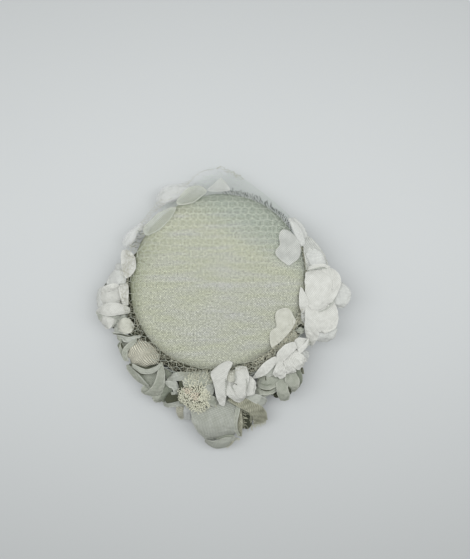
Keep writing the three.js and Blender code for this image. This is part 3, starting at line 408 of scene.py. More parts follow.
          (-41, -86.3, -42, -91.7, 38, 1), (-36.3, -87, -39.8, -92.5, 39, 1.2),
          (-34.5, -92, -38.5, -95.5, 38, 1), (-33.3, -95, -36.5, -97.3, 35, 0.3))),
        ("grey", 0.3, 0.2, 0.4, 0.4, ((-42.5, -98, -42, -99.8, 32, 0.2), (-38, -96, -37.8, -98.6, 34, 0.4),
          (-34.5, -96.5, -35, -99, 33, 0.2))),
        ("grey", 0.4, 0.2, 0.4, 0.4, ((-30, -105.5, -30, -110, 29, 0.3), (-37, -104.8, -37, -109.8, 30, 1),
          (-44, -105.3, -43.5, -111, 28, 1.1), (-49.5, -108, -48.5, -111, 22, 0.3))),
        ("tail", 0.3, 0.1, 0.3, 0.3, ((-37, -108, -29, -108, 26, 0.5), (-37.4, -115, -30, -115, 24, 1),
          (-36.5, -120.5, -31, -121, 19, 0.6), (-34.5, -124, -32.5, -124, 14, 0.1))),
        ("gauze_grey", 0.2, 0.1, 0.3, 0.3, ((-31, -106, -24.5, -106, 27, 0.3),
          (-31, -116, -24.5, -116, 24, 0.6), (-31, -124, -24.5, -124.5, 17, 0.6))),
    ),
}

# Lumps of bunched cloth under the petals: the flower, their cloth, the cloth of the cup of petals round them or
# None, and x, y, z of each lump's middle and its half sizes, in millimetres.
# Lumps of the near-black kind named bunched are painted shade set in the gaps.
BUNCHED_HEARTS = (
    ("white_rose_south", "white", "white", ((13, -89, 33, 11, 11, 12),)),
    ("white_rose_southeast", "white", "white", ((62, -64, 34, 12, 10, 12),)),
    ("white_rose_east", "white", "white", ((92, -6, 33, 11, 15, 13), (91, -30, 32, 10, 13, 13))),
    ("frayed_flower_south", "frayed", "sage", ((-20, -94, 30, 12, 12, 11),)),
    ("white_flower_west", "grey_white", "grey_white", ((-91, -8, 26, 9, 11, 10), (-88, -32, 27, 10, 10, 11))),
    ("bud_rose_southwest", "sage", "sage_pale", ((-66, -72, 16, 13, 12, 12), (-55, -90, 16, 9, 12, 9))),
    ("sage_flower_southeast", "sage", "sage_pale", ((57, -87, 22, 11, 10, 13),)),
    ("grey_rose_south", "grey", "grey", ((-4, -116, 15, 14, 21, 13),)),
    ("grey_rose_south", "sage", None, ((24, -106, 13, 12, 12, 10), (26, -118, 12, 7, 10, 9))),
    ("small_petals_southwest", "bunched", "sage", ((-38, -94, 16, 10, 13, 10),)),
    ("white_flower_west", "bunched", None, ((-72, -44, 30, 8, 9, 9),)),
    ("white_rose_southeast", "bunched", None, ((70.4, -40.8, 35, 5.2, 5.2, 6),)),
    ("sage_flower_southeast", "bunched", None, ((51.5, -99.5, 32, 3, 2.5, 4),)),
)

# Deep folds between the petals, as dark strips of painted shade, and thin rolled edges, as pale strips of painted
# highlight: cloth, width, then x, y, z along each, in millimetres.
SHADE_AND_HIGHLIGHT_FOLDS = {
    "bud_rose_southwest": (
        ("crease", 1.5, ((-75.3, -74.6, 37), (-68.1, -79.6, 38.5), (-62, -80, 39), (-55.9, -78.2, 39.5),
          (-50, -75.6, 39.5))),
        ("crease", 2.2, ((-78, -72, 36), (-75.5, -72.4, 38), (-73.8, -74, 38))),
        ("crease", 1.4, ((-71.5, -71.2, 43), (-62, -74.6, 43), (-53, -72.2, 43))),
        ("sage", 1.3, ((-50.9, -77.5, 36), (-52.6, -82.1, 35.5), (-56, -89.1, 33.5), (-59.4, -93, 31))),
        ("grey_white", 0.9, ((-78.5, -73.5, 34), (-71.8, -78.8, 35.5), (-66.6, -84.9, 34.5),
          (-60.6, -92.3, 31))),
        ("sage", 1, ((-70.6, -79, 33.6), (-65.4, -85.1, 32.6), (-59.9, -92.1, 29.5))),
        ("crease", 8.5, ((-46.5, -105.5, 32), (-41, -101.5, 33), (-34, -102.5, 32))),
        ("crease", 1.6, ((-84.6, -53, 38.5), (-83.6, -56, 38.5), (-82.6, -58.5, 38.5))),
    ),
    "small_petals_southwest": (
        ("crease", 3.2, ((-33.4, -85.6, 42.5), (-31.6, -90.5, 43), (-31.8, -97, 42))),
    ),
    "sage_flower_southeast": (
        ("crease", 0.9, ((37, -93, 38.5), (41.5, -94.6, 40), (46.6, -93.4, 40.5), (50, -91, 40.5))),
        ("sage", 1.1, ((36.5, -87.6, 41.5), (41, -89.4, 43.2), (46, -88.4, 43.4))),
        ("crease", 1.6, ((41, -81.5, 42.5), (41.6, -85.4, 43.2))),
        ("crease", 1.2, ((46.4, -98.6, 37), (50.4, -99.4, 36))),
        ("crease", 1.6, ((61.2, -90.5, 42), (62.4, -94, 41), (63.2, -97.5, 38.5))),
        ("sage", 1, ((70, -79.5, 43.5), (70.8, -85.6, 43), (68.9, -93.4, 38))),
    ),
    "white_rose_south": (
        ("grey", 0.8, ((15.2, -76, 50.4), (15.3, -80.5, 51.5), (15.2, -85, 51.4))),
        ("crease", 1.1, ((14.4, -86.6, 51.2), (16.6, -87.7, 51.2))),
        ("grey", 0.8, ((11.1, -87.6, 49.5), (12.9, -90.5, 49.5), (15, -94.7, 49.4))),
        ("grey", 0.9, ((6.6, -82.6, 50.4), (7.2, -87.6, 50), (6.8, -98, 47.6))),
        ("crease", 2.4, ((9.3, -73, 49.5), (11.6, -74.6, 49.5), (13.8, -73.3, 49.5))),
        ("crease", 1, ((15, -71.4, 48.5), (18.6, -70.7, 49), (23.2, -71.8, 48.5))),
        ("grey", 0.8, ((24, -82.6, 51), (25.2, -87.6, 50.6), (23.8, -94.7, 49.4))),
    ),
    "white_rose_east": (
        ("grey_white", 1, ((76.5, 8.8, 50.5), (82.5, 11.3, 51.4), (89, 12, 51.4), (95.6, 11, 50))),
        ("grey_white", 0.9, ((86, -26, 50.2), (92.3, -23.4, 50.4), (98.4, -17.6, 50.4), (101, -12.5, 49.6))),
    ),
    "white_flower_west": (
        ("grey", 2, ((-94.2, -29.6, 40), (-90, -30.4, 41), (-85, -29.8, 41))),
        ("grey", 1.4, ((-87.4, -32, 41), (-90, -36.4, 40.5), (-92.8, -40.2, 38))),
        ("crease", 1, ((-91, -45, 40), (-83.6, -45.4, 43), (-77.2, -46.9, 43.5), (-70.8, -45.4, 43))),
        ("crease", 2.6, ((-72.6, -39.4, 43.4), (-69.5, -40.2, 44.8), (-66.6, -41.6, 44.8))),
        ("crease", 1.8, ((-74, -43.6, 43.4), (-71, -44.2, 44.8), (-67.4, -45, 44.8))),
    ),
}

# The frayed flower's loops: x, y, z of their root, the first and last heading in degrees, how many, their length.
FRINGE = (
    (-17, -98, 41.5, 228, 312, 10, 9.5), (-21, -97, 43, 200, 300, 9, 5.5), (-15, -93, 43.5, 250, 380, 9, 4.5),
)

# Tufts of curled yarn over the frayed flower: yarn, x, y, z of their middle, half width, half depth, how many.
CURLS = (
    ("frayed", -20, -86.5, 45.6, 10.5, 7.5, 56), ("frayed", -9, -83, 45, 6.5, 6, 24),
    ("frayed", -22, -98, 47.5, 10.5, 9.5, 112), ("frayed", -30.5, -97, 43.5, 4, 9, 34),
    ("frayed", -16.5, -106.5, 43.4, 9.5, 7, 72), ("frayed", -11.5, -97.5, 45.4, 5, 6, 40),
    ("frayed", -13.6, -99.8, 47.8, 3.2, 3, 26), ("heart", -19.8, -98.3, 48.4, 4.4, 4, 20),
    ("heart", -25.9, -93.5, 47.8, 3.4, 3, 11),
)

# Loose threads of raw edges: x, y of the first and last root, their height, heading in degrees, length, how many.
LOOSE_THREADS = (
    ("grey_rose_south", "grey_cloth", (0.5, 0.5, 0.38), ((32, -127.5, 43, -124, 19, -95, 4, 34),
        (21, -109, 21.5, -127, 29, -28, 5, 22), (20, -127, 31, -129, 17, -80, 5, 26),
        (4.5, -146, 9.5, -148.5, 18, -115, 2, 12), (14, -139, 19, -139.5, 23, -85, 2.5, 12),
        (23.5, -112.5, 30, -117, 32, -60, 3, 12))),
    ("frayed_flower_south", "frayed_cloth", (0.64, 0.64, 0.52), ((-28, -80, -8, -77.5, 42, 90, 2.2, 22),
        (-30, -84, -33, -104, 38, 190, 2.5, 22), (-28, -108, -10, -110, 37, -95, 3.5, 30),
        (-4, -104, -2, -109, 37, -60, 2, 10))),
    ("small_petals_southwest", "sage_cloth", (0.5, 0.51, 0.42), ((-46, -110, -32, -109, 26, -95, 2, 14),
        (-36, -122, -31, -123, 17, -95, 2, 8))),
)

# Loose petals laid on the net: cloth, how steeply each leaves the shoulder, and outline corners in millimetres.
LOOSE_PETALS = (
    ("gauze_petal_on_crown", "cream_pale", 0.3, ((54, 44), (60, 43), (66, 38), (70, 30), (69, 21), (64, 16),
      (60, 14), (51, 21), (49, 26), (53, 32), (52, 38))),
    ("cream_petal_on_crown", "cream", 0.3, ((50, -25), (56, -22), (61, -23), (64, -29), (66, -33), (62, -41),
      (56, -48), (49, -54), (46, -56), (44, -50), (45, -42), (50, -38), (49, -31))),
    ("leaf_petal_northwest", "veil", 0.5, ((-35, 63), (-37, 57), (-42, 51), (-48, 45), (-54, 41), (-60, 39),
      (-63, 44), (-58, 51), (-52, 57), (-45, 61))),
    ("long_petal_north", "veil", 0.5, ((-34, 65), (-27, 65), (-20, 67), (-14, 71), (-9, 76), (-13, 81),
      (-20, 82), (-27, 78), (-34, 70))),
    ("pointed_petal_north", "veil_pale", 0.8, ((-9, 77), (-4, 83), (2, 88.5), (4.5, 87), (10, 79), (9, 76.5),
      (0, 76))),
    ("cloud_petal_northwest", "cloud", 1.2, ((-34, 68), (-44, 65), (-51, 63), (-55, 68), (-54, 77), (-48, 84),
      (-39, 86), (-29, 85), (-21, 82), (-17, 78), (-24, 73))),
    ("low_petal_northwest", "cloud", 1.2, ((-61, 46), (-66, 42), (-71, 32), (-80, 28), (-84, 34), (-79, 42),
      (-70, 49), (-64, 51))),
    ("round_petal_west", "white", 0.6, ((-68.5, 17), (-70, 22), (-75, 26.5), (-82, 27), (-82.5, 19),
      (-81.5, 12), (-79, 6), (-76, 3), (-72, 6), (-69, 11))),
)

# The net's edge: azimuth in degrees, how far it stands out past the wall and its height, in millimetres.
NET_EDGE = (
    (-212, 7, 40), (-195, 9, 42), (-150, 10, 41), (-90, 10, 42), (0, 10, 42), (22, 8, 40), (34, 7, 33),
    (45, 7, 28), (58, 8.5, 25), (68, 12, 22), (76, 17, 19), (83, 23, 16), (90, 27, 13), (97, 25, 14),
    (106, 18, 18), (118, 13, 24), (130, 12, 28), (148, 7, 40),
)


# ---------------------------------------------------------------- settings


class CapCrownSettings(bpy.types.PropertyGroup):
    half_long: FloatProperty(
        name="Half length", description="Half the crown's longer width", default=0.078, unit="LENGTH")
    half_short: FloatProperty(
        name="Half width", description="Half the crown's shorter width", default=0.075, unit="LENGTH")
    long_at: FloatProperty(
        name="Long axis", description="Direction of the longer width", default=math.radians(45), unit="ROTATION")
    dome: FloatProperty(name="Dome", description="Rise of the top at its middle", default=0.0035, unit="LENGTH")
    shoulder: FloatProperty(
        name="Shoulder", description="Radius of the turn from top to wall", default=0.0120, unit="LENGTH")
    wall: FloatProperty(name="Wall", description="Thickness of the stiffened linen", default=0.0022, unit="LENGTH")
    thread: FloatProperty(
        name="Thread pitch", description="Spacing of the linen's threads", default=0.00105, unit="LENGTH")
    green: FloatVectorProperty(
        name="Green linen", description="Yellow-green of the linen", subtype="COLOR", size=3,
        default=(0.455, 0.467, 0.365))
    grey: FloatVectorProperty(
        name="Grey linen", description="Grey patches of the linen", subtype="COLOR", size=3,
        default=(0.47, 0.475, 0.44))


class CapNetSettings(bpy.types.PropertyGroup):
    cell: FloatProperty(name="Cell", description="Width of one cell of the net", default=0.0066, unit="LENGTH")
    thread: FloatProperty(
        name="Thread", description="Thickness of the net's thread", default=0.00030, unit="LENGTH")
    lift: FloatProperty(
        name="Lift", description="Height of the thread's middle above the linen", default=0.0007, unit="LENGTH")
    color: FloatVectorProperty(
        name="Net colour", description="Colour of the net's thread", subtype="COLOR", size=3,
        default=(0.76, 0.79, 0.69))
    # The edge colour is painted shade on the thread below the crown's shoulder.
    low_color: FloatVectorProperty(
        name="Edge colour", description="Colour of the thread at the free edge", subtype="COLOR", size=3,
        default=(0.62, 0.67, 0.62))
    # The fold colour is painted shade.
    fold_shade_color: FloatVectorProperty(
        name="Fold colour", description="Colour of the thread in the fold at the shoulder", subtype="COLOR",
        size=3, default=(0.10, 0.115, 0.10))


class CapPetalSettings(bpy.types.PropertyGroup):
    thickness: FloatProperty(
        name="Cloth", description="Thickness of a petal's cloth", default=0.0004, unit="LENGTH")
    columns: IntProperty(name="Columns", description="Points across a petal", default=15, min=5, max=31)
    rows: IntProperty(name="Rows", description="Points along a petal", default=19, min=5, max=41)
    overlap: FloatProperty(
        name="Overlap", description="How much wider a petal is cut than it shows", default=1.12)
    fullness: FloatProperty(
        name="Fullness", description="Share of each petal's bulge that is kept", default=0.6)


class CapStageSettings(bpy.types.PropertyGroup):
    floor: FloatVectorProperty(
        name="Floor", description="Colour of the table", subtype="COLOR", size=3, default=(0.585, 0.60, 0.605))
    camera_height: FloatProperty(
        name="Camera height", description="Height of the camera over the crown", default=0.600, unit="LENGTH")
    lens: FloatProperty(name="Lens", description="Focal length", default=45.5)
    key_power: FloatProperty(
        name="Key light", description="Power of the large soft light", default=2.6, unit="POWER")


# ---------------------------------------------------------------- small sums


def clamp(value, low=0.0, high=1.0):
    return max(low, min(high, value))


def lerp(a, b, share):
    return a + (b - a) * share


def polar(azimuth, radius, height=0.0):
    """A point at an azimuth and a radius."""
    return Vector((radius * math.cos(azimuth), radius * math.sin(azimuth), height))


def ripple(x, y, z=0.0):
    """Smooth noise at a point, about -1 to 1."""
    return noise.noise(Vector((x, y, z)))


def smooth_between(p0, p1, p2, p3, t):
    """The value at a share t of the way from p1 to p2, on a smooth line through all four."""
    bent = (2 * p0 - 5 * p1 + 4 * p2 - p3) * t**2
    return 0.5 * (2 * p1 + (p2 - p0) * t + bent + (3 * p1 - p0 - 3 * p2 + p3) * t**3)


def near_azimuth(azimuth, middle, spread):
    """How near an azimuth is to a middle one, from 0 past the spread to 1; degrees."""
    away = (math.degrees(azimuth) - middle + 180) % 360 - 180
    return clamp(1 - abs(away) / spread)


def place(point):
    """A point in millimetres about the crown's axis, in metres in the frame."""
    return AXIS + Vector(point) * MM


# ---------------------------------------------------------------- pieces


def cloth_grid(rows, columns, at):
    """Grids of points, of flat cloth coordinates and of nearness to a cut edge; at(row, column) gives all three."""
    cells = [[at(i, j) for j in range(columns)] for i in range(rows)]
    return tuple([[cell[part] for cell in line] for line in cells] for part in range(3))


class MeshParts:
    """Points, faces, flat cloth coordinates, tones and cut edges gathered for one piece."""

    def __init__(self):
        self.points, self.faces, self.flats, self.tones, self.edges = [], [], [], [], []

    def add_grid(self, grids, tone, closed=False, heel=0.0):
        """Adds a cloth grid, darkened by its tone and by painted shade the more the nearer its heel."""
        grid, flats, edges = grids
        start, columns, last = len(self.points), len(grid[0]), len(grid) - 1
        for i, (line, flat_line) in enumerate(zip(grid, flats)):
            self.points.extend(place(point) for point in line)
            self.flats.extend(flat_line)
            self.tones.extend([tone + heel * clamp(1 - i / last / HEEL_SHARE)] * columns)
            self.edges.extend(edges[i] if edges else [0.0] * columns)
        for low in range(start, start + last * columns, columns):
            for j in range(columns if closed else columns - 1):
                k = (j + 1) % columns
                self.faces.append((low + j, low + k, low + columns + k, low + columns + j))

    def add_lid(self, start, count, turned=False):
        """Closes a ring of points."""
        ring = range(start, start + count)
        self.faces.append(tuple(reversed(ring) if turned else ring))

    def turn_over(self):
        self.faces = [tuple(reversed(face)) for face in self.faces]

    def make(self, name, material):
        mesh = bpy.data.meshes.new(name)
        mesh.from_pydata(self.points, [], self.faces)
        layer = mesh.uv_layers.new(name="cloth")
        for loop in mesh.loops:
            layer.data[loop.index].uv = Vector(self.flats[loop.vertex_index]) * MM
        for label, values in (("tone", self.tones), ("edge", self.edges)):
            mesh.attributes.new(label, "FLOAT", "POINT").data.foreach_set("value", values)
        mesh.materials.append(material)
        return add_mesh(name, mesh)


def add_object(name, data):
    piece = bpy.data.objects.new(name, data)
    bpy.context.scene.collection.objects.link(piece)
    return piece


def add_mesh(name, mesh):
    """An object of a smooth-shaded mesh."""
    for polygon in mesh.polygons:
        polygon.use_smooth = True
    mesh.update()
    return add_object(name, mesh)


def add_thickness(piece, thickness):
    wall = piece.modifiers.new("cloth thickness", "SOLIDIFY")
    wall.thickness = thickness
    wall.offset = 0.0
    wall.use_even_offset = False


def settle(piece, slot, *nodes):
    """Rides the piece on the cap's one body and hides the frame's nodes that it stands for."""
    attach(piece, "root")
    if nodes:
        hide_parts(*nodes)
    return piece


def sew(parts, name, kind, node, thick=True):
    """Makes the gathered parts one smooth piece of a kind of cloth that stands for the node."""
    piece = parts.make(name, cloth(kind))
    if thick:
        add_thickness(piece, bpy.context.scene.cap_petals.thickness)
    smoothing = piece.modifiers.new("smoothing", "SUBSURF")
    smoothing.levels = smoothing.render_levels = 1
    return settle(piece, CLOTHS[kind].slot, node)


# ---------------------------------------------------------------- crown and net surfaces


def crown_form():
    """The radius of the crown's shoulder, the rise of its dome and the height of the dome's rim, in millimetres."""
    settings = bpy.context.scene.cap_crown
    shoulder, dome = settings.shoulder / MM, settings.dome / MM
    return shoulder, dome, CROWN_TOP - dome


def crown_radius(azimuth):
    """Half width of the oval crown towards an azimuth, in millimetres."""
    settings = bpy.context.scene.cap_crown
    half_long, half_short = settings.half_long / MM, settings.half_short / MM
    turn = azimuth - settings.long_at
    return half_long * half_short / math.hypot(half_short * math.cos(turn), half_long * math.sin(turn))


def net_edge(azimuth):
    """How far the net's edge stands out from the wall and its height, in millimetres."""
    first, last = NET_EDGE[0][0], NET_EDGE[-1][0]
    degrees = math.degrees(azimuth)
    while degrees > last:
        degrees -= 360
    while degrees < first:
        degrees += 360
    for (a0, out0, z0), (a1, out1, z1) in zip(NET_EDGE, NET_EDGE[1:]):
        if degrees <= a1:
            share = (degrees - a0) / (a1 - a0)
            return lerp(out0, out1, share), lerp(z0, z1, share)
    return NET_EDGE[0][1:]


def net_point(azimuth, run=0.0, lift=0.0):
    """A point of the net, run millimetres from the middle of the top, and how far the net runs that way.

    The net lies over the top and leaves the shoulder for its edge, which stands out past the wall."""
    shoulder, dome, rim = crown_form()
    reach, bottom = net_edge(azimuth)
    flat = crown_radius(azimuth) - shoulder
    low, high = 0.0, math.pi / 2
    for _ in range(HALVINGS):
        leave = (low + high) / 2
        ahead = shoulder * (1 - math.sin(leave)) + reach
        drop = rim - bottom - shoulder * (1 - math.cos(leave))
        if math.atan2(drop, ahead) > leave:
            low = leave
        else:
            high = leave
    if run <= flat:
        radius, slope = run, 0.12 * run / flat
        height = rim + dome * (1 - (run / flat) ** 2)
    else:
        slope = min((run - flat) / shoulder, leave)
        beyond = max(run - flat - shoulder * leave, 0)
        radius = flat + shoulder * math.sin(slope) + beyond * math.cos(leave)
        height = rim - shoulder * (1 - math.cos(slope)) - beyond * math.sin(leave)
    limit = flat + shoulder * leave + math.hypot(ahead, drop)
    return polar(azimuth, radius + lift * math.sin(slope), height + lift * math.cos(slope)), limit


def loose_point(azimuth, radius, droop, lift):
    """A point of cloth laid over the crown at a radius; past the shoulder it runs on as steep as its droop."""
    shoulder, dome, rim = crown_form()
    flat = crown_radius(azimuth) - shoulder
    over = radius - flat
    steepest = math.atan(droop)
    turn = shoulder * math.sin(steepest)
    slope = clamp(math.asin(clamp(over / shoulder)), 0, steepest)
    height = rim + dome * (1 - (radius / flat) ** 2) if over < 0 else rim - shoulder * (1 - math.cos(slope))
    if over > turn:
        height -= droop * (over - turn)
    return polar(azimuth, radius + lift * math.sin(slope), height + lift * math.cos(slope))


# ---------------------------------------------------------------- materials


class Nodes:
    """A node tree, and short ways to add to it."""

    def __init__(self, tree):
        self.tree = tree

    def put(self, entry, value):
        """Gives an input a socket's output, a number, or a colour."""
        if isinstance(value, bpy.types.NodeSocket):
            self.tree.links.new(value, entry)
        elif isinstance(value, (int, float)):
            entry.default_value = value
        else:
            entry.default_value = (*value, 1)

    def add(self, kind, links=None, **values):
        """A node with its properties and input values set, and sockets linked to its inputs."""
        node = self.tree.nodes.new(kind)
        for key, value in values.items():
            if hasattr(node, key):
                setattr(node, key, value)
            else:
                node.inputs[key.replace("_", " ").title()].default_value = value
        for name, socket in (links or {}).items():
            self.tree.links.new(socket, node.inputs[name])
        return node

    def math(self, operation, *values, clamped=False):
        node = self.add("ShaderNodeMath", operation=operation, use_clamp=clamped)
        for entry, value in zip(node.inputs, values):
            self.put(entry, value)
        return node.outputs[0]

    def product(self, first, second, clamped=False):
        return self.math("MULTIPLY", first, second, clamped=clamped)

    def scaled(self, value, factor, offset, clamped=False):
        return self.math("MULTIPLY_ADD", value, factor, offset, clamped=clamped)

    def mix(self, factor, first, second, blend="MIX"):
        node = self.add("ShaderNodeMix", data_type="RGBA", blend_type=blend)
        for index, value in ((0, factor), (6, first), (7, second)):
            self.put(node.inputs[index], value)
        return node.outputs[2]

    def noise(self, vector, scale, detail):
        return self.add("ShaderNodeTexNoise", {"Vector": vector}, scale=scale, detail=detail).outputs["Fac"]

    def stretched(self, vector, scale):
        return self.add("ShaderNodeMapping", {"Vector": vector}, scale=scale).outputs[0]

    def vector_math(self, operation, vector, second=(0, 0, 0)):
        node = self.add("ShaderNodeVectorMath", {0: vector}, operation=operation)
        node.inputs[1].default_value = second
        return node.outputs

    def split(self, vector):
        return self.add("ShaderNodeSeparateXYZ", {"Vector": vector}).outputs

    def attribute(self, name):
        return self.add("ShaderNodeAttribute", attribute_name=name).outputs["Fac"]

    def on_cloth(self):
        """The cloth's own flat coordinates."""
        return self.add("ShaderNodeUVMap", uv_map="cloth").outputs["UV"]

    def on_object(self):
        return self.add("ShaderNodeTexCoord").outputs["Object"]


class Paint(Nodes):
    """The nodes of a new material."""

    def __init__(self, name):
        self.material = bpy.data.materials.new(name)
        self.material.use_nodes = True
        super().__init__(self.material.node_tree)

    def finish(self, color, roughness, specular, relief=None, alpha=None):
        """Joins the colour, a relief of (height, depth in metres) and the cover to the shader."""
        inputs = self.tree.nodes["Principled BSDF"].inputs
        self.put(inputs["Base Color"], color)
        self.put(inputs["Roughness"], roughness)
        self.put(inputs["Specular IOR Level"], specular)
        if alpha is not None:
            self.put(inputs["Alpha"], alpha)
        if relief is not None:
            bump = self.add("ShaderNodeBump", {"Height": relief[0]}, distance=relief[1], strength=1.0)
            self.put(inputs["Normal"], bump.outputs["Normal"])
        return self.material


def new_group(name, kind, inputs, outputs):
    """A node group, its nodes, the outputs of its input node, and the identifiers of its inputs."""
    tree = bpy.data.node_groups.new(name, kind)
    for way, sockets in (("INPUT", inputs), ("OUTPUT", outputs)):
        for label, value in sockets:
            tree.interface.new_socket(label, in_out=way, socket_type="NodeSocket" + value)
    nodes = Nodes(tree)
    inner = nodes.add("NodeGroupInput").outputs
    return tree, nodes, inner, [socket.identifier for socket in inner if socket.name]


def plain_weave_group():
    """Over-and-under cloth weave: relief, which thread is over, the holes between threads, and thicker threads."""
    name = "Plain weave"
    if name in bpy.data.node_groups:
        return bpy.data.node_groups[name]
    inputs = (("Vector", "Vector"), ("Warp Pitch", "Float"), ("Weft Pitch", "Float"), ("Wander", "Float"))
    outputs = [(label, "Float") for label in ("Height", "Over", "Holes", "Slub")]
    tree, nodes, inner, _ = new_group(name, "ShaderNodeTree", inputs, outputs)
    centred = nodes.math("SUBTRACT", nodes.noise(inner["Vector"], 350.0, 2.0), 0.5)
    shift = nodes.product(centred, inner["Wander"])
    parts = nodes.split(inner["Vector"])

    def thread_phase(axis, pitch):
        moved = nodes.math("ADD", nodes.math("DIVIDE", parts[axis], inner[pitch]), shift)
        return nodes.math("SINE", nodes.product(moved, math.pi))

    warp, weft = thread_phase("X", "Warp Pitch"), thread_phase("Y", "Weft Pitch")
    warp_size, weft_size = nodes.math("ABSOLUTE", warp), nodes.math("ABSOLUTE", weft)
    over = nodes.product(warp, weft)
    warp_over = nodes.scaled(over, 0.5, 0.5)
    weft_over = nodes.scaled(over, -0.5, 0.5)
    height = nodes.math("MAXIMUM", nodes.product(warp_size, warp_over), nodes.product(weft_size, weft_over))
    widest = nodes.product(nodes.math("MAXIMUM", warp_size, weft_size), 1.9, clamped=True)
    holes = nodes.math("SUBTRACT", 1.0, widest, clamped=True)
    slub = nodes.noise(nodes.stretched(inner["Vector"], (24, 280, 1)), 1.0, 1.0)
    nodes.add("NodeGroupOutput", {"Height": height, "Over": warp_over, "Holes": holes, "Slub": slub})
    return tree


def add_weave(nodes, vector, warp_pitch, weft_pitch, wander):
    pitches = {"warp_pitch": warp_pitch, "weft_pitch": weft_pitch}
    weave = nodes.add("ShaderNodeGroup", node_tree=plain_weave_group(), wander=wander, **pitches)
    nodes.put(weave.inputs["Vector"], vector)
    return weave.outputs


def cloth(kind):
    """The material of a kind of cloth, made when it is first asked for.

    It is read from the cloth's flat coordinates: patches, threads, tone with painted shade towards a petal's heel,
    cut edges paler partly for their loose ends and partly as painted highlight, holes where it is open."""
    name, woven_as = kind.replace("_", " ") + " cloth", CLOTHS[kind]
    if name in bpy.data.materials:
        return bpy.data.materials[name]
    contrast, cover = woven_as.contrast, 1.0 - woven_as.sheer
    paint = Paint(name)
    vector = paint.on_cloth()
    weave = add_weave(paint, vector, woven_as.pitch, woven_as.pitch * woven_as.ribs, 0.25)
    patches = paint.noise(vector, 160.0, 3.0)
    base = paint.mix(paint.scaled(patches, 3.0, -1.0, clamped=True), woven_as.color, woven_as.shade)
    # The tone darkens towards the shade colour: partly a given tone, partly painted shade towards the heel.
    toned_with_painted_shade = paint.mix(paint.product(paint.attribute("tone"), 0.35, clamped=True), base, woven_as.shade)
    light = paint.scaled(weave["Over"], contrast, 1.0 - contrast / 2)
    threads = paint.scaled(weave["Height"], contrast, 1.0 - contrast * 0.6)
    woven = paint.mix(1.0, toned_with_painted_shade, paint.product(light, threads), "MULTIPLY")
    rim = paint.attribute("edge")
    # Cut edges: partly their own paler loose ends, partly painted highlight.
    paled_and_highlighted_edge = paint.mix(paint.product(rim, 0.6), woven, woven_as.edge)
    alpha = None
    if woven_as.sheer:
        solid = paint.product(paint.scaled(patches, 0.7, 0.65), cover)
        solid = paint.scaled(weave["Holes"], -0.3 * cover, solid, clamped=True)
        alpha = paint.scaled(paint.math("SUBTRACT", woven_as.rim_cover, solid), rim, solid, clamped=True)
    threads_share = paint.product(weave["Height"], woven_as.relief / WRINKLE)
    height = paint.math("ADD", paint.noise(vector, 260.0, 3.0), threads_share)
    return paint.finish(paled_and_highlighted_edge, 0.92, 0.2, (height, WRINKLE), alpha)


def linen_material():
    """The crown's coarse linen: yellow-green and grey patches, slubs across, and an open weave, with painted shade
    over the northeast of the top and a dark olive painted shade where the top turns down, away from the northeast.
    """
    settings = bpy.context.scene.cap_crown
    paint = Paint("crown linen")
    vector = paint.on_cloth()
    weave = add_weave(paint, vector, settings.thread, settings.thread, 0.5)
    patches = paint.noise(paint.stretched(vector, (0.35, 1.6, 1)), 85.0, 3.0)
    plan = paint.vector_math("MULTIPLY", paint.on_object(), (1, 1, 0))["Vector"]
    away = paint.vector_math("LENGTH", plan)["Value"]
    across = paint.vector_math("DOT_PRODUCT", plan, (0.5, 0.87, 0))["Value"]
    outward = paint.scaled(away, -7.0, 0.35)
    lower = paint.scaled(paint.split(plan)["Y"], 16.0, 0.1, clamped=True)
    bands = paint.noise(paint.stretched(vector, (0.16, 1.25, 1)), 130.0, 2.0)
    banded = paint.product(paint.scaled(bands, 4.0, -2.0), lower)
    patchy = paint.math("ADD", paint.scaled(patches, 2.2, -0.8), banded)
    near = paint.mix(paint.math("ADD", patchy, outward, clamped=True), settings.green, settings.grey)
    # Painted shade: a cool grey-green laid over the northeast of the top.
    shaded = paint.product(paint.scaled(across, 42.0, -2.25, clamped=True), 0.8)
    northeast_painted_shade = paint.mix(shaded, near, (0.33, 0.37, 0.32))
    # Painted shade: a dark olive laid where the top turns down into the wall, everywhere but towards the northeast.
    shoulder_painted_shade = paint.scaled(away, 70.0, -4.9, clamped=True)
    front = paint.scaled(across, -16.0, 0.6, clamped=True)
    base = paint.mix(paint.product(shoulder_painted_shade, front), northeast_painted_shade, (0.30, 0.32, 0.22))
    streak = paint.scaled(weave["Slub"], 0.2, 0.9)
    speck = paint.scaled(paint.noise(vector, 720.0, 1.0), 1.5, 0.25)
    light = paint.scaled(weave["Over"], 0.44, 0.78)
    threads = paint.scaled(weave["Height"], 0.5, 0.72)
    shade = paint.product(paint.product(light, threads), paint.product(streak, speck))
    return paint.finish(paint.mix(1.0, base, shade, "MULTIPLY"), 0.95, 0.2, (weave["Height"], 0.0003))


def thread_material(name, color, low_color=None, near_color=None):
    """Twisted thread; the low colour, a painted shade, is met below the crown's shoulder, the near one to the south
    of its top.
    """
    paint = Paint(name)
    vector = paint.on_object()
    fibre = paint.noise(vector, 900.0, 2.0)
    base = paint.mix(fibre, color, tuple(0.86 * c for c in color))
    if low_color:
        parts = paint.split(vector)
        near = paint.product(paint.scaled(parts["Y"], -14.0, 1.0, clamped=True), 0.75)
        # Painted shade on the thread below the shoulder.
        low = paint.scaled(parts["Z"], -100.0, 5.0, clamped=True)
        base = paint.mix(low, paint.mix(near, base, near_color), low_color)
    return paint.finish(base, 0.8, 0.3, (fibre, 0.00005))


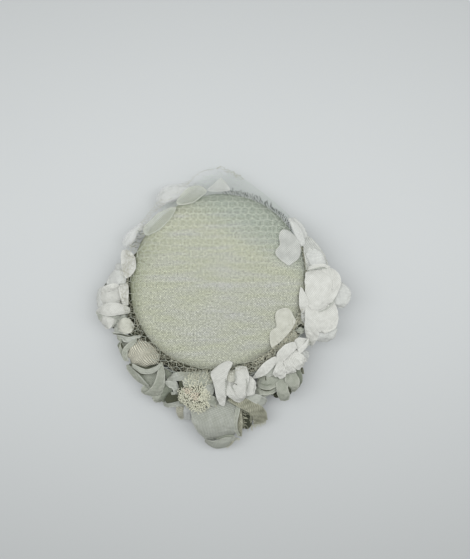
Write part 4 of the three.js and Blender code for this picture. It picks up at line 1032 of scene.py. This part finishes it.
def bunched_net_shade_material():
    """Many folds of net pressed together: specks of beige thread, more of them to the east, over near-black painted
    shade that stands for the dark depths.
    """
    paint = Paint("bunched net painted shade")
    vector = paint.on_object()
    specks = paint.noise(vector, 760.0, 2.0)
    crowd = paint.scaled(paint.noise(vector, 110.0, 2.0), 2.6, -1.5)
    east = paint.math("MAXIMUM", paint.scaled(paint.split(vector)["X"], 16.0, 0.3), -0.9)
    pressed = paint.math("ADD", crowd, paint.math("MINIMUM", east, 1.3))
    share = paint.math("ADD", paint.scaled(specks, 6.5, -3.2), pressed, clamped=True)
    # Near-black painted shade of the depths, mixed with the beige thread by share, which is raised to the east.
    base = paint.mix(share, (0.045, 0.047, 0.03), (0.62, 0.61, 0.49))
    return paint.finish(base, 0.95, 0.1, (specks, 0.0006))


# ---------------------------------------------------------------- threads


def thread_tree(name, material):
    """Edges of a mesh made into round threads, with a knot where the threads meet, and its inputs' identifiers."""
    inputs = (("Geometry", "Geometry"), ("Thickness", "Float"), ("Knot", "Float"))
    tree, nodes, inner, names = new_group(name, "GeometryNodeTree", inputs, (("Geometry", "Geometry"),))
    curve = nodes.add("GeometryNodeMeshToCurve", {"Mesh": inner["Geometry"]})
    half = nodes.product(inner["Thickness"], 0.5)
    ring = nodes.add("GeometryNodeCurvePrimitiveCircle", {"Radius": half}, resolution=THREAD_SIDES)
    sweep = {"Curve": curve.outputs[0], "Profile Curve": ring.outputs[0]}
    tube = nodes.add("GeometryNodeCurveToMesh", sweep, fill_caps=True)
    beside = nodes.add("GeometryNodeInputMeshVertexNeighbors").outputs["Vertex Count"]
    meets = nodes.add("FunctionNodeCompare", data_type="INT", operation="GREATER_THAN")
    nodes.put(meets.inputs[2], beside)
    nodes.put(meets.inputs[3], 2)
    points = nodes.add("GeometryNodeMeshToPoints", {"Mesh": inner["Geometry"], "Selection": meets.outputs[0]})
    ball = nodes.add("GeometryNodeMeshIcoSphere", {"Radius": inner["Knot"]}, subdivisions=1)
    spread = {"Points": points.outputs[0], "Instance": ball.outputs["Mesh"]}
    knots = nodes.add("GeometryNodeInstanceOnPoints", spread)
    joined = nodes.add("GeometryNodeJoinGeometry", {0: tube.outputs[0]})
    nodes.put(joined.inputs[0], knots.outputs[0])
    real = nodes.add("GeometryNodeRealizeInstances", {0: joined.outputs[0]})
    painted = nodes.add("GeometryNodeSetMaterial", {"Geometry": real.outputs[0]}, material=material)
    nodes.add("NodeGroupOutput", {"Geometry": painted.outputs[0]})
    return tree, names[1:]


def bake(piece):
    """Turns an object with live modifiers into a plain mesh object of the same name."""
    name, old = piece.name, piece.data
    mesh = bpy.data.meshes.new_from_object(piece.evaluated_get(bpy.context.evaluated_depsgraph_get()))
    bpy.data.objects.remove(piece)
    bpy.data.meshes.remove(old)
    mesh.name = name
    return add_mesh(name, mesh)


def spin(name, points, edges, thickness, knot, material):
    """One piece of round threads along the edges, with points in millimetres about the crown's axis."""
    mesh = bpy.data.meshes.new(name)
    mesh.from_pydata([place(point) for point in points], edges, [])
    piece = add_object(name, mesh)
    modifier = piece.modifiers.new("threads", "NODES")
    modifier.node_group, inputs = thread_tree(name + " threads", material)
    for identifier, value in zip(inputs, (thickness, knot)):
        modifier[identifier] = value
    return bake(piece)


def add_line(points, edges, line):
    """Adds a line of joined points to the points and edges of a piece of thread."""
    start = len(points)
    points.extend(line)
    edges.extend((k, k + 1) for k in range(start, len(points) - 1))


# ---------------------------------------------------------------- petals


def blend_stations(stations, t):
    """The station at a share t of the way along, on a smooth line through all of them."""
    spans = len(stations) - 1
    at = clamp(t) * spans
    k = min(int(at), spans - 1)
    p0, p1, p2, p3 = (stations[min(max(k + n, 0), spans)] for n in (-1, 0, 1, 2))
    if k == 0:
        p0 = tuple(2 * a - b for a, b in zip(p1, p2))
    if k == spans - 1:
        p3 = tuple(2 * b - a for a, b in zip(p1, p2))
    return [smooth_between(*values, at - k) for values in zip(p0, p1, p2, p3)]


def fold_stations(line, width):
    """Stations of a narrow strip along a line, tapering at both ends."""
    stations, last = [], len(line) - 1
    for k, (x, y, z) in enumerate(line):
        before, after = line[max(k - 1, 0)], line[min(k + 1, last)]
        ahead = Vector((after[0] - before[0], after[1] - before[1])).normalized()
        half = width / 2 * (FOLD_TAPER if k in (0, last) else 1)
        stations.append((x - ahead.y * half, y + ahead.x * half, x + ahead.y * half, y - ahead.x * half, z, 0))
    return stations


def strip_surface(strip, seed, columns=None, rows=None):
    """The grids of one strip of cloth, in millimetres."""
    kind, tip, heel, crumple, ruffle, stations = strip
    settings = bpy.context.scene.cap_petals
    columns, rows = columns or settings.columns, rows or settings.rows
    stations = [(*station, 0)[:7] for station in stations]

    def middle_at(t):
        ax, ay, bx, by, z = blend_stations(stations, t)[:5]
        return Vector(((ax + bx) / 2, (ay + by) / 2, z))

    line = [middle_at(k / LENGTH_STEPS) for k in range(LENGTH_STEPS + 1)]
    length = sum((b - a).length for a, b in zip(line, line[1:]))
    turn = CLOTHS[kind].turn
    if turn is None:
        turn = ripple(seed * 0.73, 4.1, 0.2) * 3
    ends = [math.hypot(bx - ax, by - ay) / 2 for ax, ay, bx, by, *_ in (stations[0], stations[-1])]
    heel_cut, tip_cut = heel * ends[0] / length, tip * ends[1] / length

    def at(i, j):
        v = 0.5 * i / (rows - 1) + 0.25 - 0.25 * math.cos(math.pi * i / (rows - 1))
        u = math.sin(math.pi / 2 * (-1 + 2 * j / (columns - 1)))
        round_end = 1 - math.sqrt(max(0.0, 1 - u * u))
        ragged = 0.5 / length * ripple(u * 3.5, seed * 5.1)
        t = heel_cut * round_end + v * (1 + ragged - (tip_cut + heel_cut) * round_end)
        ax, ay, bx, by, z, bulge, tilt = blend_stations(stations, t)
        half = Vector(((bx - ax) / 2, (by - ay) / 2, tilt / 2)) * settings.overlap
        ahead = (middle_at(t + 0.02) - middle_at(t - 0.02)).normalized()
        up = half.cross(ahead).normalized()
        if up.z < 0:
            up.negate()
        across, along = half.length * u, t * length
        rough = 1 + 0.08 * ripple(along * 0.25, seed * 2.3, u * 1.5)
        margin = min(half.length * (1 - abs(u)), (1 - v) * length)
        loose = clamp(1 - margin / RUFFLED_MARGIN) ** 1.5
        wave = ruffle * loose * 2.2 * ripple(along * 0.32 + 11 * u, seed * 3.7, across * 0.32)
        spot = Vector((across, along, seed * 31.7))
        fold = 0.25 - abs(ripple(across * 0.26, along * 0.09, seed * 17.3))
        crease = 0.22 - abs(noise.noise(spot * 0.24 + Vector((7, 3, 1))))
        rumple = crumple * (2.0 * fold + 1.8 * crease + 0.8 * noise.noise(spot * 0.4))
        point = Vector(((ax + bx) / 2, (ay + by) / 2, z)) + half * u * rough
        point += up * (settings.fullness * bulge * (1 - u * u) + wave + rumple)
        cosine, sine = math.cos(turn), math.sin(turn)
        flat = (across * cosine - along * sine, across * sine + along * cosine)
        return point, flat, clamp(1 - margin / CUT_MARGIN)

    return cloth_grid(rows, columns, at)


def add_cup(parts, middle, halves, seed):
    """Adds a cup of overlapping petals standing round a lump of cloth, opening upwards."""
    for k in range(CUP_PETALS):
        turn = 2 * math.pi * (k + 0.3 * ripple(k * 1.7, seed)) / CUP_PETALS + seed
        out = polar(turn, 1)
        side = Vector((-math.sin(turn), math.cos(turn), 0))
        reach = halves[0] * abs(out.x) ** 2 + halves[1] * abs(out.y) ** 2

        def at(i, j):
            share, u = i / 7, -1 + j / 4
            away = lerp(0.5, 1.0, math.sin(share * math.pi / 2)) * (1 - 0.26 * u * u) + 0.05 * share**4
            wide = 0.86 * math.sin(math.pi * (0.16 + 0.6 * share)) * u
            height = lerp(-0.92, 0.55 + 0.12 * math.sin(3 * k + seed), share) - 0.35 * share * u * u
            spot = Vector(middle) + reach * (away * out + wide * side) + Vector((0, 0, halves[2] * height))
            spot += 0.9 * noise.noise(spot * 0.16 + Vector((seed, k, 0))) * out
            return spot, (reach * wide * 1.1, reach * 1.6 * share), clamp(max(abs(u), share) * 8 - 7)

        parts.add_grid(cloth_grid(8, 9, at), 0.5 + 0.3 * math.sin(5 * k))


def add_lump(parts, middle, halves, seed):
    """Adds a bunched lump of cloth with gathers, closed at both ends."""
    rings, segments = 16, 36
    arc = (halves[0] + halves[1] + halves[2]) / 3

    def at(i, j):
        down = math.pi * (0.02 + 0.96 * i / rings)
        turn = 2 * math.pi * j / segments
        gather = 1 + 0.07 * math.sin(9 * turn + seed) + 0.08 * ripple(turn, down * 2, seed)
        reach = math.sin(down) * gather
        out = (halves[0] * reach * math.cos(turn), halves[1] * reach * math.sin(turn), -halves[2] * math.cos(down))
        return Vector(middle) + Vector(out), polar(turn - 0.52, arc * (math.pi - down))[:2], 0.0

    start = len(parts.points)
    parts.add_grid(cloth_grid(rings + 1, segments, at), 0.3, closed=True)
    parts.add_lid(start, segments, turned=True)
    parts.add_lid(start + rings * segments, segments)


# ---------------------------------------------------------------- operators


class CAP_OT_crown(bpy.types.Operator):
    """Build the stiffened linen crown, open below for the head"""

    bl_idname = "cap.crown"
    bl_label = "Linen crown"

    def profile(self, wall):
        """Rings from the middle of the top over the wall to the middle of the inside.

        Each has a share of the flat top's half width or an inset from the wall's, and a height."""
        shoulder, dome, rim = crown_form()

        def top(shares, low):
            return [("share", share, rim - low + dome * (1 - share * share)) for share in shares]

        def side(inset, *heights):
            return [("inset", inset, height) for height in heights]

        def turn(steps, radius):
            angles = [math.pi / 2 * step / 8 for step in steps]
            low = rim - shoulder
            return [("inset", shoulder - radius * math.sin(a), low + radius * math.cos(a)) for a in angles]

        outside = top(TOP_RINGS, 0) + turn(range(1, 9), shoulder)
        outside += side(0, 34, 26, 18, 10, 3, HEM_ROUND) + side(HEM_ROUND, 0.02)
        inside = side(wall - HEM_ROUND, 0.02) + side(wall, HEM_ROUND, 10, 22, 34)
        inside += turn(range(8, -1, -2), shoulder - wall) + top(INSIDE_RINGS, wall)
        return shoulder, outside + inside

    def execute(self, context):
        settings = context.scene.cap_crown
        shoulder, rings = self.profile(settings.wall / MM)
        around = [2 * math.pi * j / CROWN_POINTS for j in range(CROWN_POINTS)]

        def ring_point(kind, amount, height, azimuth):
            full = crown_radius(azimuth)
            radius = amount * (full - shoulder) if kind == "share" else full - amount
            rough = 0.25 * noise.noise(polar(azimuth, 3, height * 0.08)) if height > 3 else 0
            return polar(azimuth, radius, height) + Vector((0, 0, rough))

        grid = [[ring_point(*ring, azimuth) for azimuth in around] for ring in rings]
        flats, run = [], 0.0
        for before, line in zip(grid[:1] + grid, grid):
            run += (line[0] - before[0]).length
            flats.append([polar(azimuth, run)[:2] for azimuth in around])
        parts = MeshParts()
        parts.add_grid((grid, flats, None), 0.0, closed=True)
        parts.add_lid(0, CROWN_POINTS, turned=True)
        parts.add_lid((len(grid) - 1) * CROWN_POINTS, CROWN_POINTS)
        parts.turn_over()
        piece = parts.make("crown_linen", linen_material())
        self.lay_wall_flat(piece.data, settings.half_short)
        settle(piece, "linen", "crown")
        return {"FINISHED"}

    def lay_wall_flat(self, mesh, radius):
        """Unrolls the wall's cloth, so that its threads run round and up."""
        layer = mesh.uv_layers["cloth"]
        for polygon in mesh.polygons:
            if abs(polygon.normal.z) > 0.5:
                continue
            middle = polygon.center - AXIS
            turn = math.atan2(middle.y, middle.x)
            for loop in polygon.loop_indices:
                spot = mesh.vertices[mesh.loops[loop].vertex_index].co - AXIS
                angle = math.atan2(spot.y, spot.x)
                angle += 2 * math.pi * round((turn - angle) / (2 * math.pi))
                layer.data[loop].uv = (angle * radius, spot.z)


def without_scraps(points, edges):
    """A net's points and edges less the points on their own and the small pieces joined to nothing else."""
    lead = list(range(len(points)))

    def head(k):
        while lead[k] != k:
            lead[k] = lead[lead[k]]
            k = lead[k]
        return k

    for a, b in edges:
        lead[head(a)] = head(b)
    heads = [head(k) for k in range(len(points))]
    size = {}
    for k in heads:
        size[k] = size.get(k, 0) + 1
    kept = [k for k in range(len(points)) if size[heads[k]] >= FEWEST_KNOTS]
    order = {k: n for n, k in enumerate(kept)}
    return [points[k] for k in kept], [(order[a], order[b]) for a, b in edges if a in order]


def knot_net(cell, wobble, seed, seat):
    """Points and edges of a net of bent hexagons; seat puts a flat point on the cap, or gives None off the net."""
    points, edges, index = [], [], {}
    rows = int(NET_HALF / cell) + 1

    def corner(i, j):
        """Corner j of row i: rows zigzag a little, like bricks with bent beds."""
        if (i, j) not in index:
            x = j * cell / 2 + wobble * ripple(i * 0.7, j * 0.9, seed)
            y = 0.8 * i * cell + (0.09 * cell if (i + j) % 2 else -0.09 * cell)
            point = seat(x, y + wobble * ripple(i * 0.9, j * 0.7, seed + 3))
            index[i, j] = None if point is None else len(points)
            if point is not None:
                points.append(point)
        return index[i, j]

    for i in range(-rows, rows + 1):
        for j in range(-2 * rows, 2 * rows + 1):
            here = corner(i, j)
            if here is None:
                continue
            beside = corner(i, j + 1)
            above = corner(i + 1, j) if (i + j) % 2 else None
            edges.extend((here, other) for other in (beside, above) if other is not None)
    return without_scraps(points, edges)


def worn(x, y, azimuth, inside):
    """Whether the net has frayed away here, towards its ragged northwest edge."""
    ragged = 0.5 + 0.9 * ripple(x * 0.35, y * 0.35, 31)
    return near_azimuth(azimuth, *WORN) > 0 and ragged > inside / WORN_DEPTH


class CAP_OT_net(bpy.types.Operator):
    """Knot the net and draw it over the crown, gathered round the side, its free edge flaring behind"""

    bl_idname = "cap.net"
    bl_label = "Net veil"

    def drawn(self, x, y):
        """The net laid over the crown."""
        run, azimuth = math.hypot(x, y), math.atan2(y, x)
        wave = clamp((run - 70) / 25) * noise.noise(polar(azimuth, 6, run * 0.05))
        slack = 0.15 * noise.noise(Vector((x, y, 0)) * 0.3)
        point, limit = net_point(azimuth, run, self.lift + abs(wave) + slack)
        return point if run <= limit and not worn(x, y, azimuth, limit - run) else None

    def gathered(self, x, y):
        """A second fold of the net, bunched along the shoulder."""
        shift = Vector([noise.noise(Vector((x, y, depth)) * 0.13) for depth in (40, 70)])
        x, y = x + 5 * shift.x, y + 5 * shift.y
        run, azimuth = math.hypot(x, y), math.atan2(y, x)
        limit = net_point(azimuth)[1]
        bunch = sum(near_azimuth(azimuth, *gathers) for gathers in GATHERS)
        inner = limit - 7 - 11 * min(bunch, 1) - 6 * noise.noise(polar(azimuth, 3, 9))
        if bunch <= 0 or not inner < run < limit - 1.5:
            return None
        ruffle = 2.4 + 1.6 * abs(noise.noise(Vector((x, y, 5)) * 0.25))
        return net_point(azimuth, run, self.lift + ruffle)[0]

    def haze(self, x, y):
        """The fine free edge of the net behind the cap."""
        run, azimuth = math.hypot(x, y), math.atan2(y, x)
        limit = net_point(azimuth)[1]
        behind = near_azimuth(azimuth, *FREE_EDGE) > 0 and crown_radius(azimuth) - 1 < run < limit - 1
        if not behind or worn(x, y, azimuth, limit - run):
            return None
        return net_point(azimuth, run, self.lift + 0.6)[0]

    def painted_shade_ends(self):
        """Short ends of thread, near-black as painted shade, that stand out where the net is folded at the
        shoulder.
        """
        points, edges = [], []
        for first, last, count in FOLD_SHADE_ENDS:
            for n in range(count):
                azimuth = math.radians(lerp(first, last, (n + 0.5) / count))
                run = crown_radius(azimuth) + 8 * ((n * GOLDEN) % 1) - 1
                root = net_point(azimuth, run, self.lift + 0.5)[0]
                turn = azimuth + 0.5 + 1.6 * ripple(n * 0.9, 7.5, first)
                length = 2.8 + 2.4 * ripple(n * 1.3, 2.5, first)
                add_line(points, edges, (root, root + length * polar(turn, 1, -0.1)))
        return points, edges

    def add_rim(self, points, edges):
        """Adds the net's bound edge, but for its worn part."""
        start = len(points)
        around = [math.radians(NET_EDGE[0][0] + 360 * k / RIM_POINTS) for k in range(RIM_POINTS)]
        for azimuth in around:
            sway = 0.8 * noise.noise(polar(azimuth, 5, 1.0))
            points.append(net_point(azimuth, net_point(azimuth)[1] - 0.6 + sway, self.lift)[0])
        whole = [k for k, azimuth in enumerate(around) if not near_azimuth(azimuth, *UNBOUND)]
        edges.extend((start + k, start + (k + 1) % RIM_POINTS) for k in whole)

    def build_bunch(self):
        """The folds of net bunched down between the crown's wall and the flowers, their dark depths painted shade.
        """
        rows, columns = BUNCH_POINTS

        def at(i, k):
            share, last = i / (rows - 1), columns - 1
            azimuth = math.radians(BUNCH_FROM + BUNCH_SPAN * k / last)
            open_share = share * clamp(0.05 + min(k, last - k) / 22)
            spot = polar(azimuth, crown_radius(azimuth) - 1 + BUNCH_WIDTH * open_share)
            fold = 0.3 - abs(noise.noise(spot * 0.22 + Vector((0, 0, 4))))
            rough = 4 * fold + 1.2 * noise.noise(spot * 0.7)
            drop = 13 - 7 * near_azimuth(azimuth, *SHALLOW)
            return spot + Vector((0, 0, BUNCH_TOP - drop * open_share**1.5 + rough)), (spot.x, spot.y), 0.0

        parts = MeshParts()
        parts.add_grid(cloth_grid(rows, columns, at), 0.0)
        parts.turn_over()
        piece = parts.make("net_veil_bunch", bunched_net_shade_material())
        add_thickness(piece, BUNCH_CLOTH)
        settle(piece, "net", "net_veil")

    def execute(self, context):
        settings = context.scene.cap_net
        self.lift, cell = settings.lift / MM, settings.cell / MM
        pale = thread_material("net thread", tuple(settings.color), tuple(settings.low_color), (0.47, 0.48, 0.385))
        # The folded net's thread is near-black: painted shade.
        shaded = thread_material("folded net painted shade thread", tuple(settings.fold_shade_color))
        crowded = thread_material("gathered net thread", (0.50, 0.49, 0.39))
        points, edges = knot_net(cell, 1.7, 2.0, self.drawn)
        self.add_rim(points, edges)
        layers = (
            ("net_veil_threads", points, edges, 1.0, KNOT, pale),
            ("net_veil_gathers", *knot_net(0.5 * cell, 1.3, 11.0, self.gathered), 0.7, KNOT, crowded),
            ("net_veil_fold", *self.painted_shade_ends(), 1.5, 0, shaded),
            ("net_veil_edge", *knot_net(0.33 * cell, 0.3, 23.0, self.haze), 0.4, KNOT, pale),
        )
        for name, spots, links, share, knot, material in layers:
            thread = share * settings.thread
            settle(spin(name, spots, links, thread, knot * thread, material), "net", "net_veil")
        self.build_bunch()
        return {"FINISHED"}


class CAP_OT_flowers(bpy.types.Operator):
    """Build the petals of every flower of the wreath"""

    bl_idname = "cap.flowers"
    bl_label = "Flowers"

    def execute(self, context):
        for node, strips in FLOWERS.items():
            parts = {}
            for index, strip in enumerate(strips):
                seed = index + len(node) * 7
                tone = clamp(0.5 + ripple(seed * 1.7, index * 3.3, 0.5))
                # heel=2.0 lays painted shade on each petal towards its heel.
                parts.setdefault(strip[0], MeshParts()).add_grid(strip_surface(strip, seed), tone, heel=2.0)
            for kind, gathered in parts.items():
                sew(gathered, node + "_" + kind, kind, node)
        return {"FINISHED"}


class CAP_OT_hearts(bpy.types.Operator):
    """Build the bunched cloth behind the flowers, with near-black lumps of painted shade in the gaps, and the
    striped bud
    """

    bl_idname = "cap.hearts"
    bl_label = "Bud and bunched cloth"

    def execute(self, context):
        parts = MeshParts()
        add_lump(parts, BUD_MIDDLE, BUD_HALVES, 3)
        bud = sew(parts, "striped_bud", "bud", "bud_rose_southwest", thick=False)
        for number, (node, kind, cup, lumps) in enumerate(BUNCHED_HEARTS):
            parts, petals = MeshParts(), MeshParts()
            for order, lump in enumerate(lumps):
                add_lump(parts, lump[:3], lump[3:], number)
                add_cup(petals, lump[:3], lump[3:], number + 5 * order)
            sew(parts, "%s_%s_heart_%d" % (node, kind, number), kind, node, thick=False)
            if cup:
                sew(petals, "%s_%s_cup_%d" % (node, cup, number), cup, node)
        return {"FINISHED"}


class CAP_OT_folds(bpy.types.Operator):
    """Lay dark strips of painted shade in the deep folds between the petals and pale strips of painted highlight
    along their thin rolled edges
    """

    bl_idname = "cap.folds"
    bl_label = "Deep folds"

    def execute(self, context):
        for node, folds in SHADE_AND_HIGHLIGHT_FOLDS.items():
            parts = {}
            for index, (kind, width, line) in enumerate(folds):
                strip = (kind, *FOLD_SHAPE, fold_stations(line, width))
                grid, flats, _ = strip_surface(strip, index + 40, *FOLD_POINTS)
                parts.setdefault(kind, MeshParts()).add_grid((grid, flats, None), 0.3)
            for kind, gathered in parts.items():
                sew(gathered, "%s_%s_folds" % (node, kind), kind, node)
        return {"FINISHED"}


class CAP_OT_fringe(bpy.types.Operator):
    """Hang the looped fringe of the frayed flower and the loose threads of the raw edges"""

    bl_idname = "cap.fringe"
    bl_label = "Fringe and loose threads"

    def curl_lines(self, name):
        """Points and edges of the short curls of one yarn."""
        noise.seed_set(CURL_SEED)
        points, edges = [], []
        for row, (yarn, x, y, z, wide, deep, count) in enumerate(CURLS):
            for n in range(count if yarn == name else 0):
                seed = 500 + row * 300 + n
                away, turn = math.sqrt((n + 0.5) / count), 2.4 * n
                out_x, out_y = wide * away * math.cos(turn), deep * away * math.sin(turn)
                middle = Vector((x + out_x, y + out_y, z - 0.4 * deep * away**2))
                middle += 0.9 * noise.noise_vector(Vector((seed * 0.77, 0.3, 0)))
                ahead = (middle - Vector((*FRAYED_MIDDLE, middle.z))).normalized()
                ahead = (ahead + 1.8 * noise.noise_vector(Vector((seed * 1.3, 4.1, 0)))).normalized()
                side = Vector((-ahead.y, ahead.x, 0))
                size = 2.0 + 1.4 * ripple(seed * 1.9, 2.2)
                line = []
                for out in (k / CURL_STEPS for k in range(CURL_STEPS + 1)):
                    sway = 0.7 * math.sin(5.5 * out + seed)
                    rise = 1.1 * math.sin(math.pi * out) - 0.9 * out
                    line.append(middle + size * (out - 0.4) * ahead + sway * side + Vector((0, 0, rise)))
                add_line(points, edges, line)
        return points, edges

    def loop_lines(self):
        """Points and edges of the long loops that hang from the frayed flower."""
        points, edges = [], []
        for row, (x, y, z, first, last, count, length) in enumerate(FRINGE):
            for n in range(count):
                seed = row * 40 + n
                heading = lerp(first, last, n / (count - 1)) + 9 * ripple(seed * 0.9, 1.5)
                ahead = polar(math.radians(heading), 1)
                side = Vector((-ahead.y, ahead.x, 0))
                reach = length * (1 + 0.35 * ripple(seed * 1.3, 7.5))
                lift = 1.5 * ripple(seed * 1.7, 3.5)
                line = []
                for k in range(LOOP_STEPS + 1):
                    turn = math.pi * (k / LOOP_STEPS - 0.5)
                    out = math.cos(turn) ** 0.6
                    wide = 1.25 * math.sin(turn) + 0.5 * ripple(seed * 2.1, k * 0.4)
                    spot = Vector((x, y, z)) + ahead * (2.5 + reach * out) + side * wide
                    spot.z += lift + 2.2 * math.sin(math.pi * out * 0.7) - 4.5 * out**2
                    line.append(spot)
                add_line(points, edges, line)
        return points, edges

    def loose_lines(self, rows):
        """Points and edges of the threads that have come loose along raw edges."""
        points, edges = [], []
        for row, (x0, y0, x1, y1, z, heading, length, count) in enumerate(rows):
            for n in range(count):
                seed = row * 50 + n
                share = (n + 0.4 * ripple(seed * 0.7, 0.5)) / count
                turn = math.radians(heading + 38 * ripple(seed * 0.9, 4.5))
                reach = length * (0.9 + 0.8 * ripple(seed * 1.9, 8.5))
                root = Vector((lerp(x0, x1, share), lerp(y0, y1, share), z))
                line = []
                for k in range(LOOSE_STEPS + 1):
                    away = reach * k / LOOSE_STEPS
                    bend = turn + 0.5 * k / LOOSE_STEPS * ripple(seed * 1.1, 2.5)
                    line.append(root + polar(bend, away, -0.35 * away))
                add_line(points, edges, line)
        return points, edges

    def execute(self, context):
        frayed = thread_material("frayed yarn", (0.74, 0.735, 0.60))
        heart = thread_material("heart yarn", (0.72, 0.65, 0.53))
        tufts = (
            ("loops", self.loop_lines(), LOOP_YARN, frayed),
            ("frayed_curls", self.curl_lines("frayed"), CURL_YARN, frayed),
            ("heart_curls", self.curl_lines("heart"), CURL_YARN, heart),
        )
        for name, (points, edges), thickness, yarn in tufts:
            tuft = spin("frayed_flower_" + name, points, edges, thickness, 0.0, yarn)
            settle(tuft, "frayed_cloth", "frayed_flower_south")
        for node, slot, color, rows in LOOSE_THREADS:
            yarn = thread_material(node.replace("_", " ") + " yarn", color)
            settle(spin(node + "_loose_threads", *self.loose_lines(rows), LOOSE_YARN, 0.0, yarn), slot, node)
        return {"FINISHED"}


def smooth_outline(corners):
    """Points of a closed smooth line through the corners."""
    count, points = len(corners), []
    for i in range(count):
        near = [Vector(corners[(i + k) % count]) for k in (-1, 0, 1, 2)]
        points.extend(smooth_between(*near, step / OUTLINE_STEPS) for step in range(OUTLINE_STEPS))
    return points


def grid_area(grid):
    """Area of a closed fan of rings, in square millimetres."""
    total = 0.0
    for low, high in zip(grid, grid[1:]):
        for a, b, c, d in zip(low, low[1:] + low[:1], high[1:] + high[:1], high):
            total += ((b - a).cross(d - a).length + (c - d).cross(c - b).length) / 2
    return total


class CAP_OT_loose_petals(bpy.types.Operator):
    """Lay the loose petals on the net"""

    bl_idname = "cap.loose_petals"
    bl_label = "Loose petals"

    def execute(self, context):
        for number, (name, kind, droop, corners) in enumerate(LOOSE_PETALS):
            outline = smooth_outline(corners)
            middle = sum(outline, Vector((0, 0))) / len(outline)
            hemmed = CLOTHS[kind].rim_cover == 0

            def at(i, j):
                share, rim = PETAL_RINGS[i], outline[j]
                toward = (rim - middle).normalized().dot(-rim.normalized())
                edge = clamp(1 - (1 - share) / (HEM if hemmed else BARE_EDGE))
                spot = middle + (rim - middle) * share
                run = spot.length
                rough = 0.6 * ripple(spot.x * 0.12, spot.y * 0.12, number * 9.0)
                curl = 1.6 * share**3 * (0.5 + ripple(rim.x * 0.09, rim.y * 0.09, number * 3.0))
                lift = 1.5 + 0.8 * clamp((run - 66) / 8) + rough + curl
                point = loose_point(math.atan2(spot.y, spot.x), run, droop, lift)
                return point, tuple(spot), edge * (1 if hemmed else clamp(0.6 + 0.7 * toward, 0.15))

            grids = cloth_grid(len(PETAL_RINGS), len(outline), at)
            parts = MeshParts()
            parts.add_grid(grids, 0.1, closed=True)
            parts.add_lid(0, len(outline), turned=True)
            piece = sew(parts, name + "_cloth", kind, name)
            cut = grid_area(grids[0])
        return {"FINISHED"}


class CAP_OT_stage(bpy.types.Operator):
    """Set the pale table, the soft light and the camera"""

    bl_idname = "cap.stage"
    bl_label = "Stage"

    def execute(self, context):
        settings = context.scene.cap_stage
        mesh = bpy.data.meshes.new("table_top")
        corners = ((-1, -1), (1, -1), (1, 1), (-1, 1))
        mesh.from_pydata([(TABLE_HALF * x, TABLE_HALF * y, 0) for x, y in corners], [], [(0, 1, 2, 3)])
        paint = Paint("table")
        mottle = paint.noise(paint.on_object(), 5.0, 3.0)
        base = paint.mix(mottle, settings.floor, tuple(0.985 * c for c in settings.floor))
        mesh.materials.append(paint.finish(base, 0.7, 0.3))
        table = add_object("table_top", mesh)
        world = bpy.data.worlds.new("soft room")
        world.use_nodes = True
        background = world.node_tree.nodes["Background"].inputs
        background["Color"].default_value = (0.98, 0.99, 0.97, 1)
        background["Strength"].default_value = 0.4
        context.scene.world = world
        lamp = bpy.data.lights.new("window", "AREA")
        lamp.energy = settings.key_power
        lamp.color = (0.97, 0.99, 1.0)
        lamp.shape = "RECTANGLE"
        lamp.size, lamp.size_y = LAMP_SIZE
        lamp.spread = math.radians(LAMP_SPREAD)
        add_object("window", lamp).location = AXIS + Vector(LAMP_PLACE)
        lens = bpy.data.cameras.new("camera")
        lens.lens = settings.lens
        camera = add_object("camera", lens)
        camera.location = AXIS + Vector((*CAMERA_ASIDE, CROWN_TOP * MM + settings.camera_height))
        context.scene.camera = camera
        context.scene.view_settings.view_transform = "Standard"
        return {"FINISHED"}


class CAP_PT_panel(bpy.types.Panel):
    """The cap's pieces and settings"""

    bl_idname = "CAP_PT_panel"
    bl_label = "Linen Cap"
    bl_space_type = "VIEW_3D"
    bl_region_type = "UI"
    bl_category = "Linen Cap"

    def draw(self, context):
        for operator in OPERATORS:
            self.layout.operator(operator.bl_idname)
        for group, _ in SETTINGS:
            settings = getattr(context.scene, group)
            box = self.layout.box()
            for name in settings.__annotations__:
                box.prop(settings, name)


SETTINGS = (
    ("cap_crown", CapCrownSettings),
    ("cap_net", CapNetSettings),
    ("cap_petals", CapPetalSettings),
    ("cap_stage", CapStageSettings),
)
OPERATORS = (
    CAP_OT_stage,
    CAP_OT_crown,
    CAP_OT_net,
    CAP_OT_flowers,
    CAP_OT_hearts,
    CAP_OT_folds,
    CAP_OT_fringe,
    CAP_OT_loose_petals,
)


def register():
    for name, group in SETTINGS:
        bpy.utils.register_class(group)
        setattr(bpy.types.Scene, name, PointerProperty(type=group))
    for operator in OPERATORS:
        bpy.utils.register_class(operator)
    bpy.utils.register_class(CAP_PT_panel)


def unregister():
    bpy.utils.unregister_class(CAP_PT_panel)
    for operator in reversed(OPERATORS):
        bpy.utils.unregister_class(operator)
    for name, group in reversed(SETTINGS):
        delattr(bpy.types.Scene, name)
        bpy.utils.unregister_class(group)


def main():
    register()
    bpy.ops.cap.stage()
    bpy.ops.cap.crown()
    bpy.ops.cap.net()
    bpy.ops.cap.flowers()
    bpy.ops.cap.hearts()
    bpy.ops.cap.folds()
    bpy.ops.cap.fringe()
    bpy.ops.cap.loose_petals()


if __name__ == "__main__":
    main()
